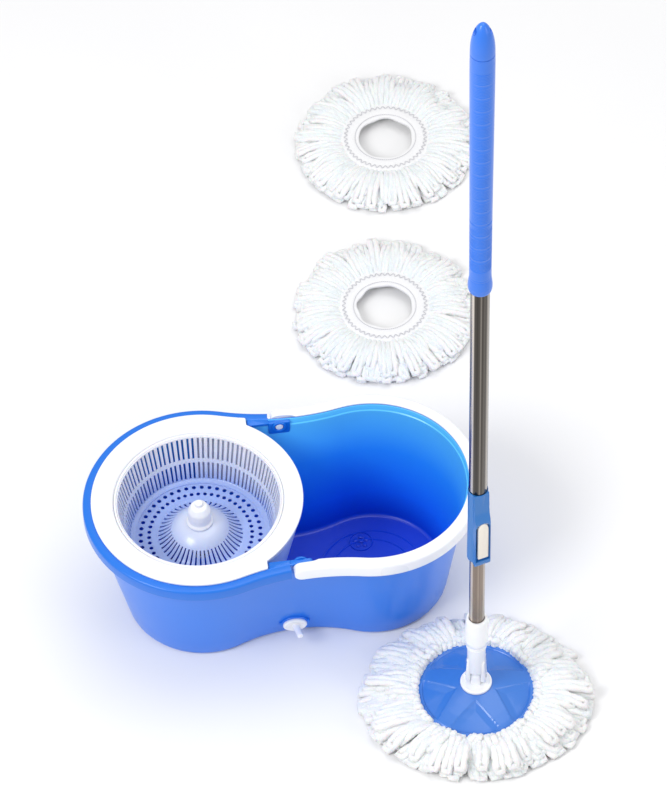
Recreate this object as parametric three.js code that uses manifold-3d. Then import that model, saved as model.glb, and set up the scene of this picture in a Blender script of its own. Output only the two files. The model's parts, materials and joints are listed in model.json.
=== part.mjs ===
// Spin mop set: a two-lobed wash bucket with a spinning wringer basket, a pump-action mop with a
// round fibre head standing beside it, and two spare fibre refills lying behind it.
// Millimetres, +Z up. Origin: the bucket's underside, between its two lobes, on the floor.
import * as THREE from "three";
import { mergeVertices } from "three/addons/utils/BufferGeometryUtils.js";
import Module from "manifold-3d";

const wasm = await Module();
wasm.setup();

// ---------------------------------------------------------------- driving dimensions
const GAP = 0.3; // between pieces that touch
const FINE = 16; // sides of a small round piece
const ROUND = 36; // sides of a large round piece

// Bucket: two round lobes joined by a concave waist.
const SPIN_X = -104; // centre of the spinner lobe
const WASH_X = 110; // centre of the wash lobe
const HEIGHT = 190; // floor to rim
const WALL = 2.5;
const SPIN_R = { bottom: 96, top: 134 };
const WASH_R = { bottom: 94, top: 123 };
const WAIST_R = { bottom: 190, top: 300 }; // radius of the waist's hollow arcs
const FOOT_IN = 5; // the rounded bottom edge
const RIM_OUT = 9; // the rolled rim stands this far out of the spinner lobe
const RIM_TALL = 16;
const RIM_END_X = -3; // the rolled rim stops here, where the handle begins

// Carry handle: a bow round the wash lobe's rim, on two pegs at the waist.
const PIVOT = { x: 9, z: HEIGHT - 7 };
const BOW = { in: 1.5, out: 13, below: 21, above: 3, boss: 10, peg: 5, capIn: -2.2, capFromX: 26 };
const PEG_INNER_Y = 105;
const BRACKET = { x0: -5, x1: 23, y0: 107, y1: 114, z0: HEIGHT - 20, z1: HEIGHT - 1 };

// Drain plug, low on the front of the waist.
const DRAIN = { x: 1, z: 31, faceY: -86.5, innerY: -66, bossR: 16, bore: 8, capR: 15, oval: 0.72 };
const PEG_LEAN = THREE.MathUtils.degToRad(13); // the plug's pull peg leans sideways

// Splash collar and wringer basket.
const COLLAR = { r: 129, open: 105, rimIn: 1.4, tabX: SPIN_X + 72, thick: 3.2, lip: 8 };
const SKIRT = { top: 128, bottom: 108, wall: 2, floorZ: 92 };
const BASKET = { top: 103.4, foot: 88.5, wall: 2.2, rimZ: HEIGHT - 1, floorZ: 120.5, floor: 2.5 };
const TIERS = [
  [125, 150],
  [156, 184],
];
const SLOTS = 24; // the real moulding has about a hundred finer ones to a tier
const SLOT_W = 3.6;
const FLOOR_HOLES = { count: 16, r: 74.5, hole: 2.8, sides: 6 };
const DOME_SLOTS = { count: 16, inner: 39, outer: 51, width: 2.4 };
const DOME_Z = 147; // top of the dome, where the knob sits
const SPINDLE_R = 4;

// Mop, standing upright beside the wash lobe.
const MOP = { x: 210, y: -214 };
const TUBE_UPPER = { r: 11, bore: 10.3, z0: 307, z1: 1150 };
const TUBE_LOWER = { r: 9.4, bore: 8.7, z0: 128, z1: 447 };
const SLEEVE = { z0: 298, z1: 428, r: 12, bore: 11.3, lip: 3 };
const GRIP = { z0: 790, z1: 1174, bore: 11.3, closed: 1154 };
const CAP = { z0: 1174.3, z1: 1220, hole: 4.5, holeZ: 1193 };
const HEAD_TURN = THREE.MathUtils.degToRad(-16); // the tilt pin's direction in plan
const LEVER_TURN = THREE.MathUtils.degToRad(15); // the lock lever faces forward and a little right
const TILT_Z = 56.5;
const YOKE_TOP = 124; // the yoke's shoulder, under the ferrule
const YOKE_FOOT = 70; // the underside of its barrel, over the tongue
const EAR_TOP = 92;
const LEVER = { pinZ: 376, pinOut: 14.9, half: 6.5, thick: 4.6, bottom: 313 };
const ROD = { z0: 347, z1: 688, wide: 6, thick: 1.6, pitch: 100 };
const NUT_Z = 442;
const PLATE_R = 74.5;
const SCREW_R = 13;
const SCREW_TURNS = [45, 135, 225, 315].map(THREE.MathUtils.degToRad);
const FIBRE_R = 147;
const FIBRE_IN = 62; // inner edge of the fibre skirt
const FIBRE_DEPTH = 0.83; // the skirt lies spread wider than it is deep
const FIBRE_TURN = THREE.MathUtils.degToRad(10); // its long direction, from the tilt pin's

// Spare refills on the floor behind the bucket.
const SPARES = [
  { x: 183, y: 420 },
  { x: 224, y: 714 },
];
const SPARE_R = 125; // an unused refill's strands aren't spread yet

// ---------------------------------------------------------------- colours
const BLUE = { color: 0x2b7de9, roughness: 0.28, metalness: 0 };
const SLEEVE_BLUE = { color: 0x3f8fd6, roughness: 0.35, metalness: 0 };
const WHITE = { color: 0xf4f6fb, roughness: 0.3, metalness: 0 };
const IVORY = { color: 0xece6d8, roughness: 0.35, metalness: 0 };
const STEEL = { color: 0xb9b2a8, roughness: 0.2, metalness: 1 };
const RUBBER = { color: 0x8b9096, roughness: 0.8, metalness: 0 };
const FIBRE = { color: 0xfafafa, roughness: 1, metalness: 0 };

// ---------------------------------------------------------------- solids
function bare(geometry) {
  const g = geometry.clone();
  g.deleteAttribute("normal");
  g.deleteAttribute("uv");
  return mergeVertices(g, 1e-4);
}

// A closed geometry as a manifold solid, turned right side out if its faces point inwards.
function solid(geometry) {
  const g = bare(geometry);
  const tris = new Uint32Array(g.index.array);
  const make = () =>
    new wasm.Manifold(
      new wasm.Mesh({ numProp: 3, vertProperties: g.attributes.position.array, triVerts: tris }),
    );
  const made = make();
  if (made.volume() > 0) return made;
  for (let i = 0; i < tris.length; i += 3) [tris[i + 1], tris[i + 2]] = [tris[i + 2], tris[i + 1]];
  return make();
}

function geometryOf(manifold) {
  const m = manifold.getMesh();
  const v = new Float32Array(m.numVert * 3);
  for (let i = 0; i < m.numVert; i++) {
    const from = i * m.numProp;
    v.set(m.vertProperties.subarray(from, from + 3), i * 3);
  }
  const g = new THREE.BufferGeometry();
  g.setAttribute("position", new THREE.BufferAttribute(v, 3));
  g.setIndex(new THREE.BufferAttribute(new Uint32Array(m.triVerts), 1));
  return g;
}

const join = (...geometries) => geometryOf(geometries.map(solid).reduce((a, b) => a.add(b)));
const cut = (geometry, ...tools) =>
  geometryOf(tools.map(solid).reduce((a, b) => a.subtract(b), solid(geometry)));

// A turned piece about +Z from [radius, z] points.
function turned(points, sides = ROUND) {
  const onAxis = points[0][0] === 0 && points.at(-1)[0] === 0;
  const loop = onAxis ? points : [...points, points[0]];
  const g = new THREE.LatheGeometry(
    loop.map(([r, z]) => new THREE.Vector2(r, z)),
    sides,
  );
  return geometryOf(solid(g.rotateX(Math.PI / 2)));
}

const rod = (r, z0, z1, sides = FINE) =>
  new THREE.CylinderGeometry(r, r, z1 - z0, sides).rotateX(Math.PI / 2).translate(0, 0, (z0 + z1) / 2);
const tube = (r, bore, z0, z1, sides = FINE) =>
  turned(
    [
      [bore, z0],
      [r, z0],
      [r, z1],
      [bore, z1],
    ],
    sides,
  );
const rodAlongY = (r, x, z, y0, y1, sides = FINE) =>
  new THREE.CylinderGeometry(r, r, y1 - y0, sides).translate(x, (y0 + y1) / 2, z);
const block = (x0, x1, y0, y1, z0, z1) =>
  new THREE.BoxGeometry(x1 - x0, y1 - y0, z1 - z0).translate((x0 + x1) / 2, (y0 + y1) / 2, (z0 + z1) / 2);
const prism = (points, z0, z1, hole) => {
  const shape = new THREE.Shape(points.map(([x, y]) => new THREE.Vector2(x, y)));
  if (hole) shape.holes.push(new THREE.Path(hole.map(([x, y]) => new THREE.Vector2(x, y))));
  return new THREE.ExtrudeGeometry(shape, { depth: z1 - z0, bevelEnabled: false }).translate(0, 0, z0);
};

// An open list of points on an arc, both ends included.
function arc(cx, cy, r, from, to, steps) {
  return Array.from({ length: steps + 1 }, (_, i) => {
    const t = from + ((to - from) * i) / steps;
    return [cx + r * Math.cos(t), cy + r * Math.sin(t)];
  });
}

// The bucket's plan outline, counter-clockwise: a spinner arc, a wash arc, and a hollow arc tangent
// to both on each side. offset moves the whole line outwards.
function lobedOutline(spinR, washR, waistR, offset = 0) {
  const a = spinR + waistR;
  const b = washR + waistR;
  const span = WASH_X - SPIN_X;
  const along = (a * a - b * b + span * span) / (2 * span);
  const waistY = Math.sqrt(a * a - along * along);
  const waistX = SPIN_X + along;
  const spinTouch = Math.atan2(waistY, along);
  const washTouch = Math.atan2(waistY, waistX - WASH_X);
  const spinArc = arc(SPIN_X, 0, spinR + offset, spinTouch, 2 * Math.PI - spinTouch, 34);
  const washArc = arc(WASH_X, 0, washR + offset, -washTouch, washTouch, 30);
  const front = arc(waistX, -waistY, waistR - offset, Math.PI - spinTouch, Math.PI - washTouch, 8);
  const back = arc(waistX, waistY, waistR - offset, Math.PI + washTouch, Math.PI + spinTouch, 8);
  return [...spinArc, ...front.slice(1, -1), ...washArc, ...back.slice(1, -1)];
}

// The outline of the bucket's outer wall at a height, moved outwards by offset.
function wallOutline(z, offset = 0) {
  const t = z / HEIGHT;
  const at = ({ bottom, top }) => bottom + (top - bottom) * t;
  return lobedOutline(at(SPIN_R), at(WASH_R), at(WAIST_R), offset);
}

// A solid through a stack of [z, outline] sections, all with the same number of points.
function lofted(sections) {
  const n = sections[0][1].length;
  const position = sections.flatMap(([z, line]) => line.flatMap(([x, y]) => [x, y, z]));
  const index = [];
  for (let s = 0; s + 1 < sections.length; s++)
    for (let i = 0; i < n; i++) {
      const j = (i + 1) % n;
      const low = s * n;
      const high = low + n;
      index.push(low + i, low + j, high + j, low + i, high + j, high + i);
    }
  const capOf = ([, line]) =>
    THREE.ShapeUtils.triangulateShape(
      line.map(([x, y]) => new THREE.Vector2(x, y)),
      [],
    );
  const top = (sections.length - 1) * n;
  for (const [a, b, c] of capOf(sections[0])) index.push(a, c, b);
  for (const [a, b, c] of capOf(sections.at(-1))) index.push(top + a, top + b, top + c);
  const g = new THREE.BufferGeometry();
  g.setAttribute("position", new THREE.Float32BufferAttribute(position, 3));
  g.setIndex(index);
  return g;
}

function mesh(name, geometry, look) {
  const m = new THREE.Mesh(geometry, new THREE.MeshStandardMaterial(look));
  m.name = name;
  return m;
}

// ---------------------------------------------------------------- bucket
function bucketShell() {
  const floorZ = WALL + 0.7;
  const outer = lofted([
    [0, wallOutline(0, -FOOT_IN)],
    [2, wallOutline(2, -FOOT_IN / 4)],
    [FOOT_IN + 1, wallOutline(FOOT_IN + 1)],
    [HEIGHT, wallOutline(HEIGHT)],
  ]);
  const inner = lofted([
    [floorZ, wallOutline(floorZ, -WALL - FOOT_IN)],
    [floorZ + FOOT_IN, wallOutline(floorZ + FOOT_IN, -WALL)],
    [HEIGHT + 1, wallOutline(HEIGHT + 1, -WALL)],
  ]);
  const rolled = prism(wallOutline(HEIGHT, RIM_OUT), HEIGHT - RIM_TALL, HEIGHT);
  const rim = cut(rolled, block(RIM_END_X, WASH_X + 200, -200, 200, 0, HEIGHT + 1));
  const brackets = [-1, 1].map((side) => {
    const ys = [side * BRACKET.y0, side * BRACKET.y1].sort((p, q) => p - q);
    return block(BRACKET.x0, BRACKET.x1, ...ys, BRACKET.z0, BRACKET.z1);
  });
  const boss = rodAlongY(DRAIN.bossR, 0, 0, DRAIN.faceY, DRAIN.innerY, 2 * FINE);
  boss.scale(1, 1, DRAIN.oval).translate(DRAIN.x, 0, DRAIN.z);
  const hollow = cut(join(outer, rim), inner);
  const pegHole = rodAlongY(BOW.peg + 0.12, PIVOT.x, PIVOT.z, -140, 140);
  const drainHole = rodAlongY(DRAIN.bore, DRAIN.x, DRAIN.z, DRAIN.faceY - 5, DRAIN.innerY + 5);
  return cut(join(hollow, ...brackets, boss), pegHole, drainHole);
}

function spindlePost() {
  const base = WALL + 0.7 + GAP;
  return turned(
    [
      [0, base],
      [30, base],
      [30, base + 3],
      [17, base + 10],
      [13, 86],
      [8.3, 86],
      [8.3, 70],
      [4.8, 70],
      [4.8, 50],
      [0, 50],
    ],
    FINE,
  );
}

function bearingBush() {
  return turned(
    [
      [SPINDLE_R + 0.12, 70.3],
      [8, 70.3],
      [8, 86.3],
      [11.5, 86.3],
      [11.5, 88.5],
      [SPINDLE_R + 0.12, 88.5],
    ],
    FINE,
  );
}

function bucketGroup() {
  const group = new THREE.Group();
  group.add(mesh("bucket_shell", bucketShell(), BLUE));
  const spinner = new THREE.Group();
  spinner.position.x = SPIN_X;
  spinner.add(mesh("spindle_post", spindlePost(), BLUE));
  spinner.add(mesh("bearing_bush", bearingBush(), WHITE));
  spinner.add(mesh("thrust_washer", tube(9, SPINDLE_R + 0.3, 88.8, 90), STEEL));
  group.add(spinner);
  return group;
}

// The part of an outline with x over a limit, from front to back, ending exactly on the limit.
function wrapBeyond(outline, limit) {
  const front = outline.filter(([x, y]) => x > limit && y < 0);
  const back = outline.filter(([x, y]) => x > limit && y >= 0);
  const halfWidth = Math.max(...[front[0], back.at(-1)].map(([, y]) => Math.abs(y)));
  const line = [...front, ...back];
  return [[limit, -halfWidth], ...line, [limit, halfWidth]];
}

function handleBow() {
  const band = (from, to, x, z0, z1) => {
    const outside = wrapBeyond(wallOutline(HEIGHT, to), x);
    const inside = wrapBeyond(wallOutline(HEIGHT, from), x);
    return prism([...outside, ...inside.reverse()], z0, z1);
  };
  const top = HEIGHT + BOW.above;
  const bow = band(BOW.in, BOW.out, PIVOT.x, HEIGHT - BOW.below, top);
  const cap = band(BOW.capIn, BOW.out, BOW.capFromX, HEIGHT + GAP + 0.1, top);
  const reach = wrapBeyond(wallOutline(HEIGHT), PIVOT.x)[0][1];
  const bosses = [-1, 1].flatMap((side) => {
    const near = side * (Math.abs(reach) + BOW.in);
    const far = side * (Math.abs(reach) + BOW.out);
    const [y0, y1] = [near, far].sort((p, q) => p - q);
    const [p0, p1] = [side * PEG_INNER_Y, far].sort((p, q) => p - q);
    return [
      rodAlongY(BOW.boss, PIVOT.x, PIVOT.z, y0, y1, 2 * FINE),
      rodAlongY(BOW.peg, PIVOT.x, PIVOT.z, p0, p1),
    ];
  });
  return join(bow, cap, ...bosses);
}

function drainPlugGroup() {
  const group = new THREE.Group();
  group.position.set(DRAIN.x, DRAIN.faceY, DRAIN.z);
  group.rotation.x = Math.PI / 2; // local +Z points out of the front of the bucket
  const stem = turned(
    [
      [0, -21],
      [7.2, -21],
      [7.2, -14],
      [6, -14],
      [6, 1],
      [0, 1],
    ],
    FINE,
  );
  const cap = turned(
    [
      [0, GAP],
      [DRAIN.capR, GAP],
      [DRAIN.capR, 3],
      [DRAIN.capR - 2, 4.2],
      [0, 4.2],
    ],
    2 * FINE,
  ).scale(1, DRAIN.oval, 1);
  const peg = turned(
    [
      [0, 2],
      [4.4, 2],
      [3.9, 21],
      [2.8, 22],
      [0, 22],
    ],
    FINE,
  ).rotateY(PEG_LEAN);
  const seal = turned(
    [
      [6.3, -13.6],
      [7.7, -13],
      [7.7, -6],
      [6.3, -5],
    ],
    FINE,
  );
  group.add(mesh("drain_plug", join(stem, cap, peg), WHITE), mesh("plug_seal", seal, RUBBER));
  return group;
}

// ---------------------------------------------------------------- collar and basket
function splashCollar() {
  const rim = wallOutline(HEIGHT, -COLLAR.rimIn).map(([x, y]) => [x - SPIN_X, y]);
  const tab = COLLAR.tabX - SPIN_X;
  const spinSide = rim.filter(([x]) => x <= tab);
  const back = spinSide.filter(([, y]) => y > 0).sort((p, q) => q[0] - p[0]);
  const front = spinSide.filter(([, y]) => y <= 0).sort((p, q) => p[0] - q[0]);
  const turn = Math.acos(tab / COLLAR.r);
  const washSide = arc(0, 0, COLLAR.r, -turn, turn, 16);
  const hole = arc(0, 0, COLLAR.open, 0, 2 * Math.PI, ROUND).slice(0, -1);
  const top = HEIGHT + GAP + COLLAR.thick;
  const plate = prism([...washSide, ...back, ...front], HEIGHT + GAP, top, hole);
  const lip = tube(COLLAR.open + 2, COLLAR.open, HEIGHT - COLLAR.lip, top, ROUND);
  const cone = turned([
    [SKIRT.bottom - SKIRT.wall, SKIRT.floorZ],
    [SKIRT.bottom, SKIRT.floorZ],
    [SKIRT.top, HEIGHT + 1],
    [SKIRT.top - SKIRT.wall, HEIGHT + 1],
  ]);
  const skirt = cut(cone, block(-150, 8, -150, 150, 0, HEIGHT + 5));
  return join(plate, lip, skirt);
}

function spinBasket() {
  const { top, foot, wall, rimZ, floorZ, floor } = BASKET;
  const body = turned([
    [4.4, 107],
    [9, 107],
    [9, DOME_Z - 8],
    [16, DOME_Z - 3.5],
    [26, DOME_Z - 8],
    [37, DOME_Z - 17],
    [50, floorZ - floor],
    [foot, floorZ - floor],
    [top, rimZ],
    [top - wall, rimZ],
    [foot - wall + 0.6, floorZ],
    [52, floorZ],
    [39, DOME_Z - 14],
    [28, DOME_Z - 4.5],
    [17, DOME_Z],
    [4.4, DOME_Z],
  ]);
  const wallSlots = TIERS.flatMap(([z0, z1], tier) =>
    Array.from({ length: SLOTS }, (_, i) =>
      block(foot - 8, top + 4, -SLOT_W / 2, SLOT_W / 2, z0, z1).rotateZ(
        ((i + tier / 2) * 2 * Math.PI) / SLOTS,
      ),
    ),
  );
  const holes = Array.from({ length: FLOOR_HOLES.count }, (_, i) => {
    const t = (i * 2 * Math.PI) / FLOOR_HOLES.count;
    const hole = rod(FLOOR_HOLES.hole, floorZ - 8, floorZ + 8, FLOOR_HOLES.sides);
    return hole.translate(FLOOR_HOLES.r * Math.cos(t), FLOOR_HOLES.r * Math.sin(t), 0);
  });
  const domeSlots = Array.from({ length: DOME_SLOTS.count }, (_, i) => {
    const half = DOME_SLOTS.width / 2;
    const slot = block(DOME_SLOTS.inner, DOME_SLOTS.outer, -half, half, floorZ - 8, floorZ + 12);
    return slot.rotateZ(((i + 0.5) * 2 * Math.PI) / DOME_SLOTS.count);
  });
  return cut(body, ...wallSlots, ...holes, ...domeSlots);
}

function hubKnob() {
  return turned(
    [
      [0, DOME_Z + 16],
      [4.4, DOME_Z + 16],
      [4.4, DOME_Z + GAP],
      [16, DOME_Z + GAP],
      [16, DOME_Z + 4],
      [14.3, DOME_Z + 8],
      [14.3, DOME_Z + 19],
      [12.6, DOME_Z + 26],
      [9, DOME_Z + 31],
      [5.2, DOME_Z + 32.5],
      [4.8, DOME_Z + 37],
      [2.8, DOME_Z + 38.6],
      [0, DOME_Z + 39],
    ],
    FINE,
  );
}

function wringerGroup() {
  const group = new THREE.Group();
  group.position.x = SPIN_X;
  group.add(mesh("splash_collar", splashCollar(), WHITE));
  group.add(mesh("spin_basket", spinBasket(), WHITE));
  group.add(mesh("hub_knob", hubKnob(), WHITE));
  group.add(mesh("basket_spindle", rod(SPINDLE_R, 56, 156), STEEL));
  group.add(mesh("spindle_spacer", tube(8.5, SPINDLE_R + 0.3, 90.4, 106.7), WHITE));
  return group;
}

// ---------------------------------------------------------------- mop
function grip() {
  const { z0, z1, bore, closed } = GRIP;
  return turned([
    [0, closed],
    [bore, closed],
    [bore, z0],
    [12.6, z0],
    [13.8, z0 + 4],
    [13.8, z0 + 12],
    [12.5, z0 + 30],
    [12.7, z0 + 60],
    [13.9, z1 - 30],
    [13.7, z1],
    [6.3, z1],
    [6.3, z1 - 10.5],
    [0, z1 - 10.5],
  ]);
}

function gripCap() {
  const { z0, z1, hole, holeZ } = CAP;
  const tip = Array.from({ length: 7 }, (_, i) => {
    const t = (i / 6) * (Math.PI / 2);
    return [Math.cos(t) * 8.5, z1 - 9 + Math.sin(t) * 9];
  });
  tip[6][0] = 0;
  const body = turned([[0, z0 - 10], [6, z0 - 10], [6, z0], [13.7, z0], [13.2, z0 + 16], ...tip], FINE);
  const hang = new THREE.CylinderGeometry(hole, hole, 40, FINE).rotateZ(Math.PI / 2).translate(0, 0, holeZ);
  return cut(body, hang);
}

// The sleeve's front carries a pocket for the lock lever; local -Y is the lever's side.
function lockSleeve() {
  const { z0, z1, r, bore, lip } = SLEEVE;
  const body = turned(
    [
      [9.7, z0],
      [r + 0.6, z0],
      [r + 0.8, z0 + 20],
      [r, z0 + 45],
      [r, z1 - 2],
      [r - 0.4, z1],
      [bore, z1],
      [bore, z0 + lip],
      [9.7, z0 + lip],
    ],
    ROUND,
  );
  const side = [
    [8, z0 + 3],
    [16.2, z0 + 3],
    [16.2, z0 + 68],
    [13, z1 - 36],
    [8, z1 - 36],
  ];
  const housing = prism(side, -9.5, 9.5).applyMatrix4(sideways());
  const { half, pinZ, pinOut, bottom } = LEVER;
  const pocket = block(-half - 0.4, half + 0.4, -30, -12.1, bottom - 5, pinZ + 4);
  const clear = rod(bore, z0 + lip, z1 + 1, ROUND);
  const clearLip = rod(9.7, z0 - 1, z0 + lip + 1, ROUND);
  const pinHole = new THREE.CylinderGeometry(1.5, 1.5, 16.6, 12).rotateZ(Math.PI / 2);
  pinHole.translate(0, -pinOut, pinZ);
  return cut(join(body, housing), pocket, clear, clearLip, pinHole);
}

// Takes a side view drawn as (outwards, height) with its thickness along +Z to the lever's side:
// outwards becomes -Y, height becomes +Z and the thickness lies along X.
function sideways() {
  return new THREE.Matrix4().set(0, 0, 1, 0, -1, 0, 0, 0, 0, 1, 0, 0, 0, 0, 0, 1);
}

function lockLever() {
  const { half, pinZ, pinOut, thick, bottom } = LEVER;
  const r = thick / 2;
  const crown = arc(pinOut, pinZ, r, 0, Math.PI, 8);
  const side = [[pinOut - r, bottom], [pinOut + r, bottom], ...crown];
  const body = prism(side, -half, half).applyMatrix4(sideways());
  const hole = new THREE.CylinderGeometry(1.32, 1.32, 40, 12).rotateZ(Math.PI / 2);
  return cut(body, hole.translate(0, -pinOut, pinZ));
}

function twistRod() {
  const { z0, z1, wide, thick, pitch } = ROD;
  const length = z1 - z0;
  const bar = new THREE.BoxGeometry(wide, thick, length, 1, 1, 40).translate(0, 0, (z0 + z1) / 2);
  const p = bar.attributes.position;
  for (let i = 0; i < p.count; i++) {
    const turn = (2 * Math.PI * p.getZ(i)) / pitch;
    const x = p.getX(i);
    const y = p.getY(i);
    p.setXY(i, x * Math.cos(turn) - y * Math.sin(turn), x * Math.sin(turn) + y * Math.cos(turn));
  }
  return bar;
}

function driveNut() {
  const body = rod(8.4, NUT_Z - 2.5, NUT_Z + 2.5);
  const slot = block(-3.5, 3.5, -1.6, 1.6, NUT_Z - 5, NUT_Z + 5);
  return cut(body, slot.rotateZ((2 * Math.PI * NUT_Z) / ROD.pitch));
}

function rodAnchor() {
  const rodTop = ROD.z1 + 4;
  return turned(
    [
      [0, rodTop],
      [3.5, rodTop],
      [3.5, rodTop - 15],
      [10, rodTop - 15],
      [10, rodTop + 10],
      [0, rodTop + 10],
    ],
    FINE,
  );
}

function ferrule() {
  return turned([
    [9.7, YOKE_TOP + 0.6],
    [13.2, YOKE_TOP + 0.6],
    [14.2, YOKE_TOP + 8],
    [14.2, YOKE_TOP + 24],
    [13.4, YOKE_TOP + 38],
    [12.2, YOKE_TOP + 51],
    [9.7, YOKE_TOP + 51],
  ]);
}

// Takes an end view drawn as (y, height) with its thickness along +Z to lie along X.
function crossways() {
  return new THREE.Matrix4().set(0, 0, 1, 0, 1, 0, 0, 0, 0, 1, 0, 0, 0, 0, 0, 1);
}

function yoke() {
  const barrel = turned(
    [
      [0, YOKE_FOOT],
      [11.3, YOKE_FOOT],
      [11.3, YOKE_TOP],
      [8.4, YOKE_TOP + 0.1],
      [8.4, YOKE_TOP + 34],
      [0, YOKE_TOP + 34],
    ],
    ROUND,
  );
  const r = 8.5;
  const ear = [[r, EAR_TOP], ...arc(0, TILT_Z, r, 0, -Math.PI, 10), [-r, EAR_TOP]];
  const ears = [
    [-12.6, -6.3],
    [6.3, 12.6],
  ].map(([x0, x1]) => prism(ear, x0, x1).applyMatrix4(crossways()));
  const trim = rod(13.4, 40, YOKE_TOP + 40, ROUND);
  const shaped = solid(join(barrel, ...ears)).intersect(solid(trim));
  return cut(geometryOf(shaped), pinHoleAlongX(2.45));
}

const pinHoleAlongX = (r) =>
  new THREE.CylinderGeometry(r, r, 60, FINE).rotateZ(Math.PI / 2).translate(0, 0, TILT_Z);

function pivotBlock() {
  const disc = turned(
    [
      [0, 40.3],
      [19.5, 40.3],
      [19.5, 43],
      [18, 45],
      [0, 45],
    ],
    ROUND,
  );
  const r = 7;
  const side = [[r, 42], ...arc(0, TILT_Z, r, 0, Math.PI, 10), [-r, 42]];
  const tongue = prism(side, -5.6, 5.6).applyMatrix4(crossways());
  const holes = SCREW_TURNS.map((t) =>
    rod(1.8, 38, 43.6, 12).translate(SCREW_R * Math.cos(t), SCREW_R * Math.sin(t), 0),
  );
  return cut(join(disc, tongue), pinHoleAlongX(2.45), ...holes);
}

function headPlate() {
  const body = turned([
    [0, 36],
    [20, 36],
    [52, 27.5],
    [54, 27],
    [54, 13],
    [56.5, 13],
    [56.5, 26.2],
    [72, 21],
    [72, 15],
    [PLATE_R, 15],
    [PLATE_R, 21],
    [70, 25.5],
    [20, 40],
    [0, 40],
  ]);
  const holes = SCREW_TURNS.map((t) =>
    rod(1.8, 30, 45, 12).translate(SCREW_R * Math.cos(t), SCREW_R * Math.sin(t), 0),
  );
  return cut(body, ...holes);
}

function baseScrew() {
  return turned(
    [
      [0, 33.4],
      [3, 33.4],
      [3, 35.7],
      [1.5, 35.7],
      [1.5, 43.2],
      [0, 43.2],
    ],
    12,
  );
}

function headFibres() {
  const skirt = turned([
    [FIBRE_IN, 0],
    [FIBRE_R - 8, 0],
    [FIBRE_R, 9],
    [FIBRE_R - 5, 19],
    [112, 27],
    [84, 25],
    [77, 13],
    [FIBRE_IN, 11],
  ]);
  const p = skirt.attributes.position;
  for (let i = 0; i < p.count; i++) {
    const out = (Math.hypot(p.getX(i), p.getY(i)) - FIBRE_IN) / (FIBRE_R - FIBRE_IN);
    p.setY(i, p.getY(i) * (1 - (1 - FIBRE_DEPTH) * Math.max(0, out)));
  }
  return skirt.rotateZ(FIBRE_TURN);
}

function mopGroup() {
  const mop = new THREE.Group();
  mop.position.set(MOP.x, MOP.y, 0);
  mop.add(mesh("grip", grip(), BLUE), mesh("grip_cap", gripCap(), BLUE));
  const pipe = ({ r, bore, z0, z1 }) => tube(r, bore, z0, z1, ROUND);
  mop.add(mesh("upper_tube", pipe(TUBE_UPPER), STEEL), mesh("lower_tube", pipe(TUBE_LOWER), STEEL));
  mop.add(mesh("twist_rod", twistRod(), STEEL), mesh("rod_anchor", rodAnchor(), WHITE));
  mop.add(mesh("guide_bush", tube(11, 9.6, TUBE_UPPER.z0 - 5.5, TUBE_UPPER.z0 - 0.5, ROUND), WHITE));
  mop.add(mesh("drive_nut", driveNut(), WHITE), mesh("ferrule", ferrule(), WHITE));

  const lock = new THREE.Group();
  lock.rotation.z = LEVER_TURN;
  lock.add(mesh("lock_sleeve", lockSleeve(), SLEEVE_BLUE), mesh("lock_lever", lockLever(), IVORY));
  const leverPin = new THREE.CylinderGeometry(1.2, 1.2, 16, 12).rotateZ(Math.PI / 2);
  lock.add(mesh("lever_pin", leverPin.translate(0, -LEVER.pinOut, LEVER.pinZ), STEEL));
  mop.add(lock);

  const head = new THREE.Group();
  head.rotation.z = HEAD_TURN;
  head.add(mesh("yoke", yoke(), WHITE), mesh("pivot_block", pivotBlock(), WHITE));
  const pin = new THREE.CylinderGeometry(2.2, 2.2, 26, FINE).rotateZ(Math.PI / 2);
  head.add(mesh("tilt_pin", pin.translate(0, 0, TILT_Z), STEEL));
  head.add(mesh("head_plate", headPlate(), BLUE));
  SCREW_TURNS.forEach((t, i) => {
    const screw = baseScrew().translate(SCREW_R * Math.cos(t), SCREW_R * Math.sin(t), 0);
    head.add(mesh(`base_screw_${i + 1}`, screw, STEEL));
  });
  head.add(mesh("refill_ring", tube(61.5, 57, 8, 22, ROUND), WHITE));
  head.add(mesh("head_fibres", headFibres(), FIBRE));
  mop.add(head);
  return mop;
}

// ---------------------------------------------------------------- spare refills
function spareGroup({ x, y }, number) {
  const group = new THREE.Group();
  group.position.set(x, y, 0);
  const fibres = turned([
    [41, 0],
    [SPARE_R - 7, 0],
    [SPARE_R, 8],
    [SPARE_R - 6, 17],
    [97, 23],
    [67, 16],
    [62, 14],
    [41, 14],
  ]);
  group.add(mesh(`spare_fibres_${number}`, fibres, FIBRE));
  group.add(mesh(`spare_band_${number}`, tube(61, 36, 14.3, 18, ROUND), FIBRE));
  return group;
}

// ---------------------------------------------------------------- the set
const spinMop = new THREE.Group();
spinMop.add(bucketGroup());
spinMop.add(mesh("carry_handle", handleBow(), WHITE));
spinMop.add(drainPlugGroup());
spinMop.add(wringerGroup());
spinMop.add(mopGroup());
SPARES.forEach((place, i) => spinMop.add(spareGroup(place, i + 1)));

export default spinMop;
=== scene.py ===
"""The looks of the spin mop set: bucket with wringer basket, pump-action mop and two spare refills.

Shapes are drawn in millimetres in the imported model's own frame and stored in metres.
"""

import json
import math

import bmesh
import bpy
import numpy as np
from mathutils import Matrix, Vector


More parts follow.
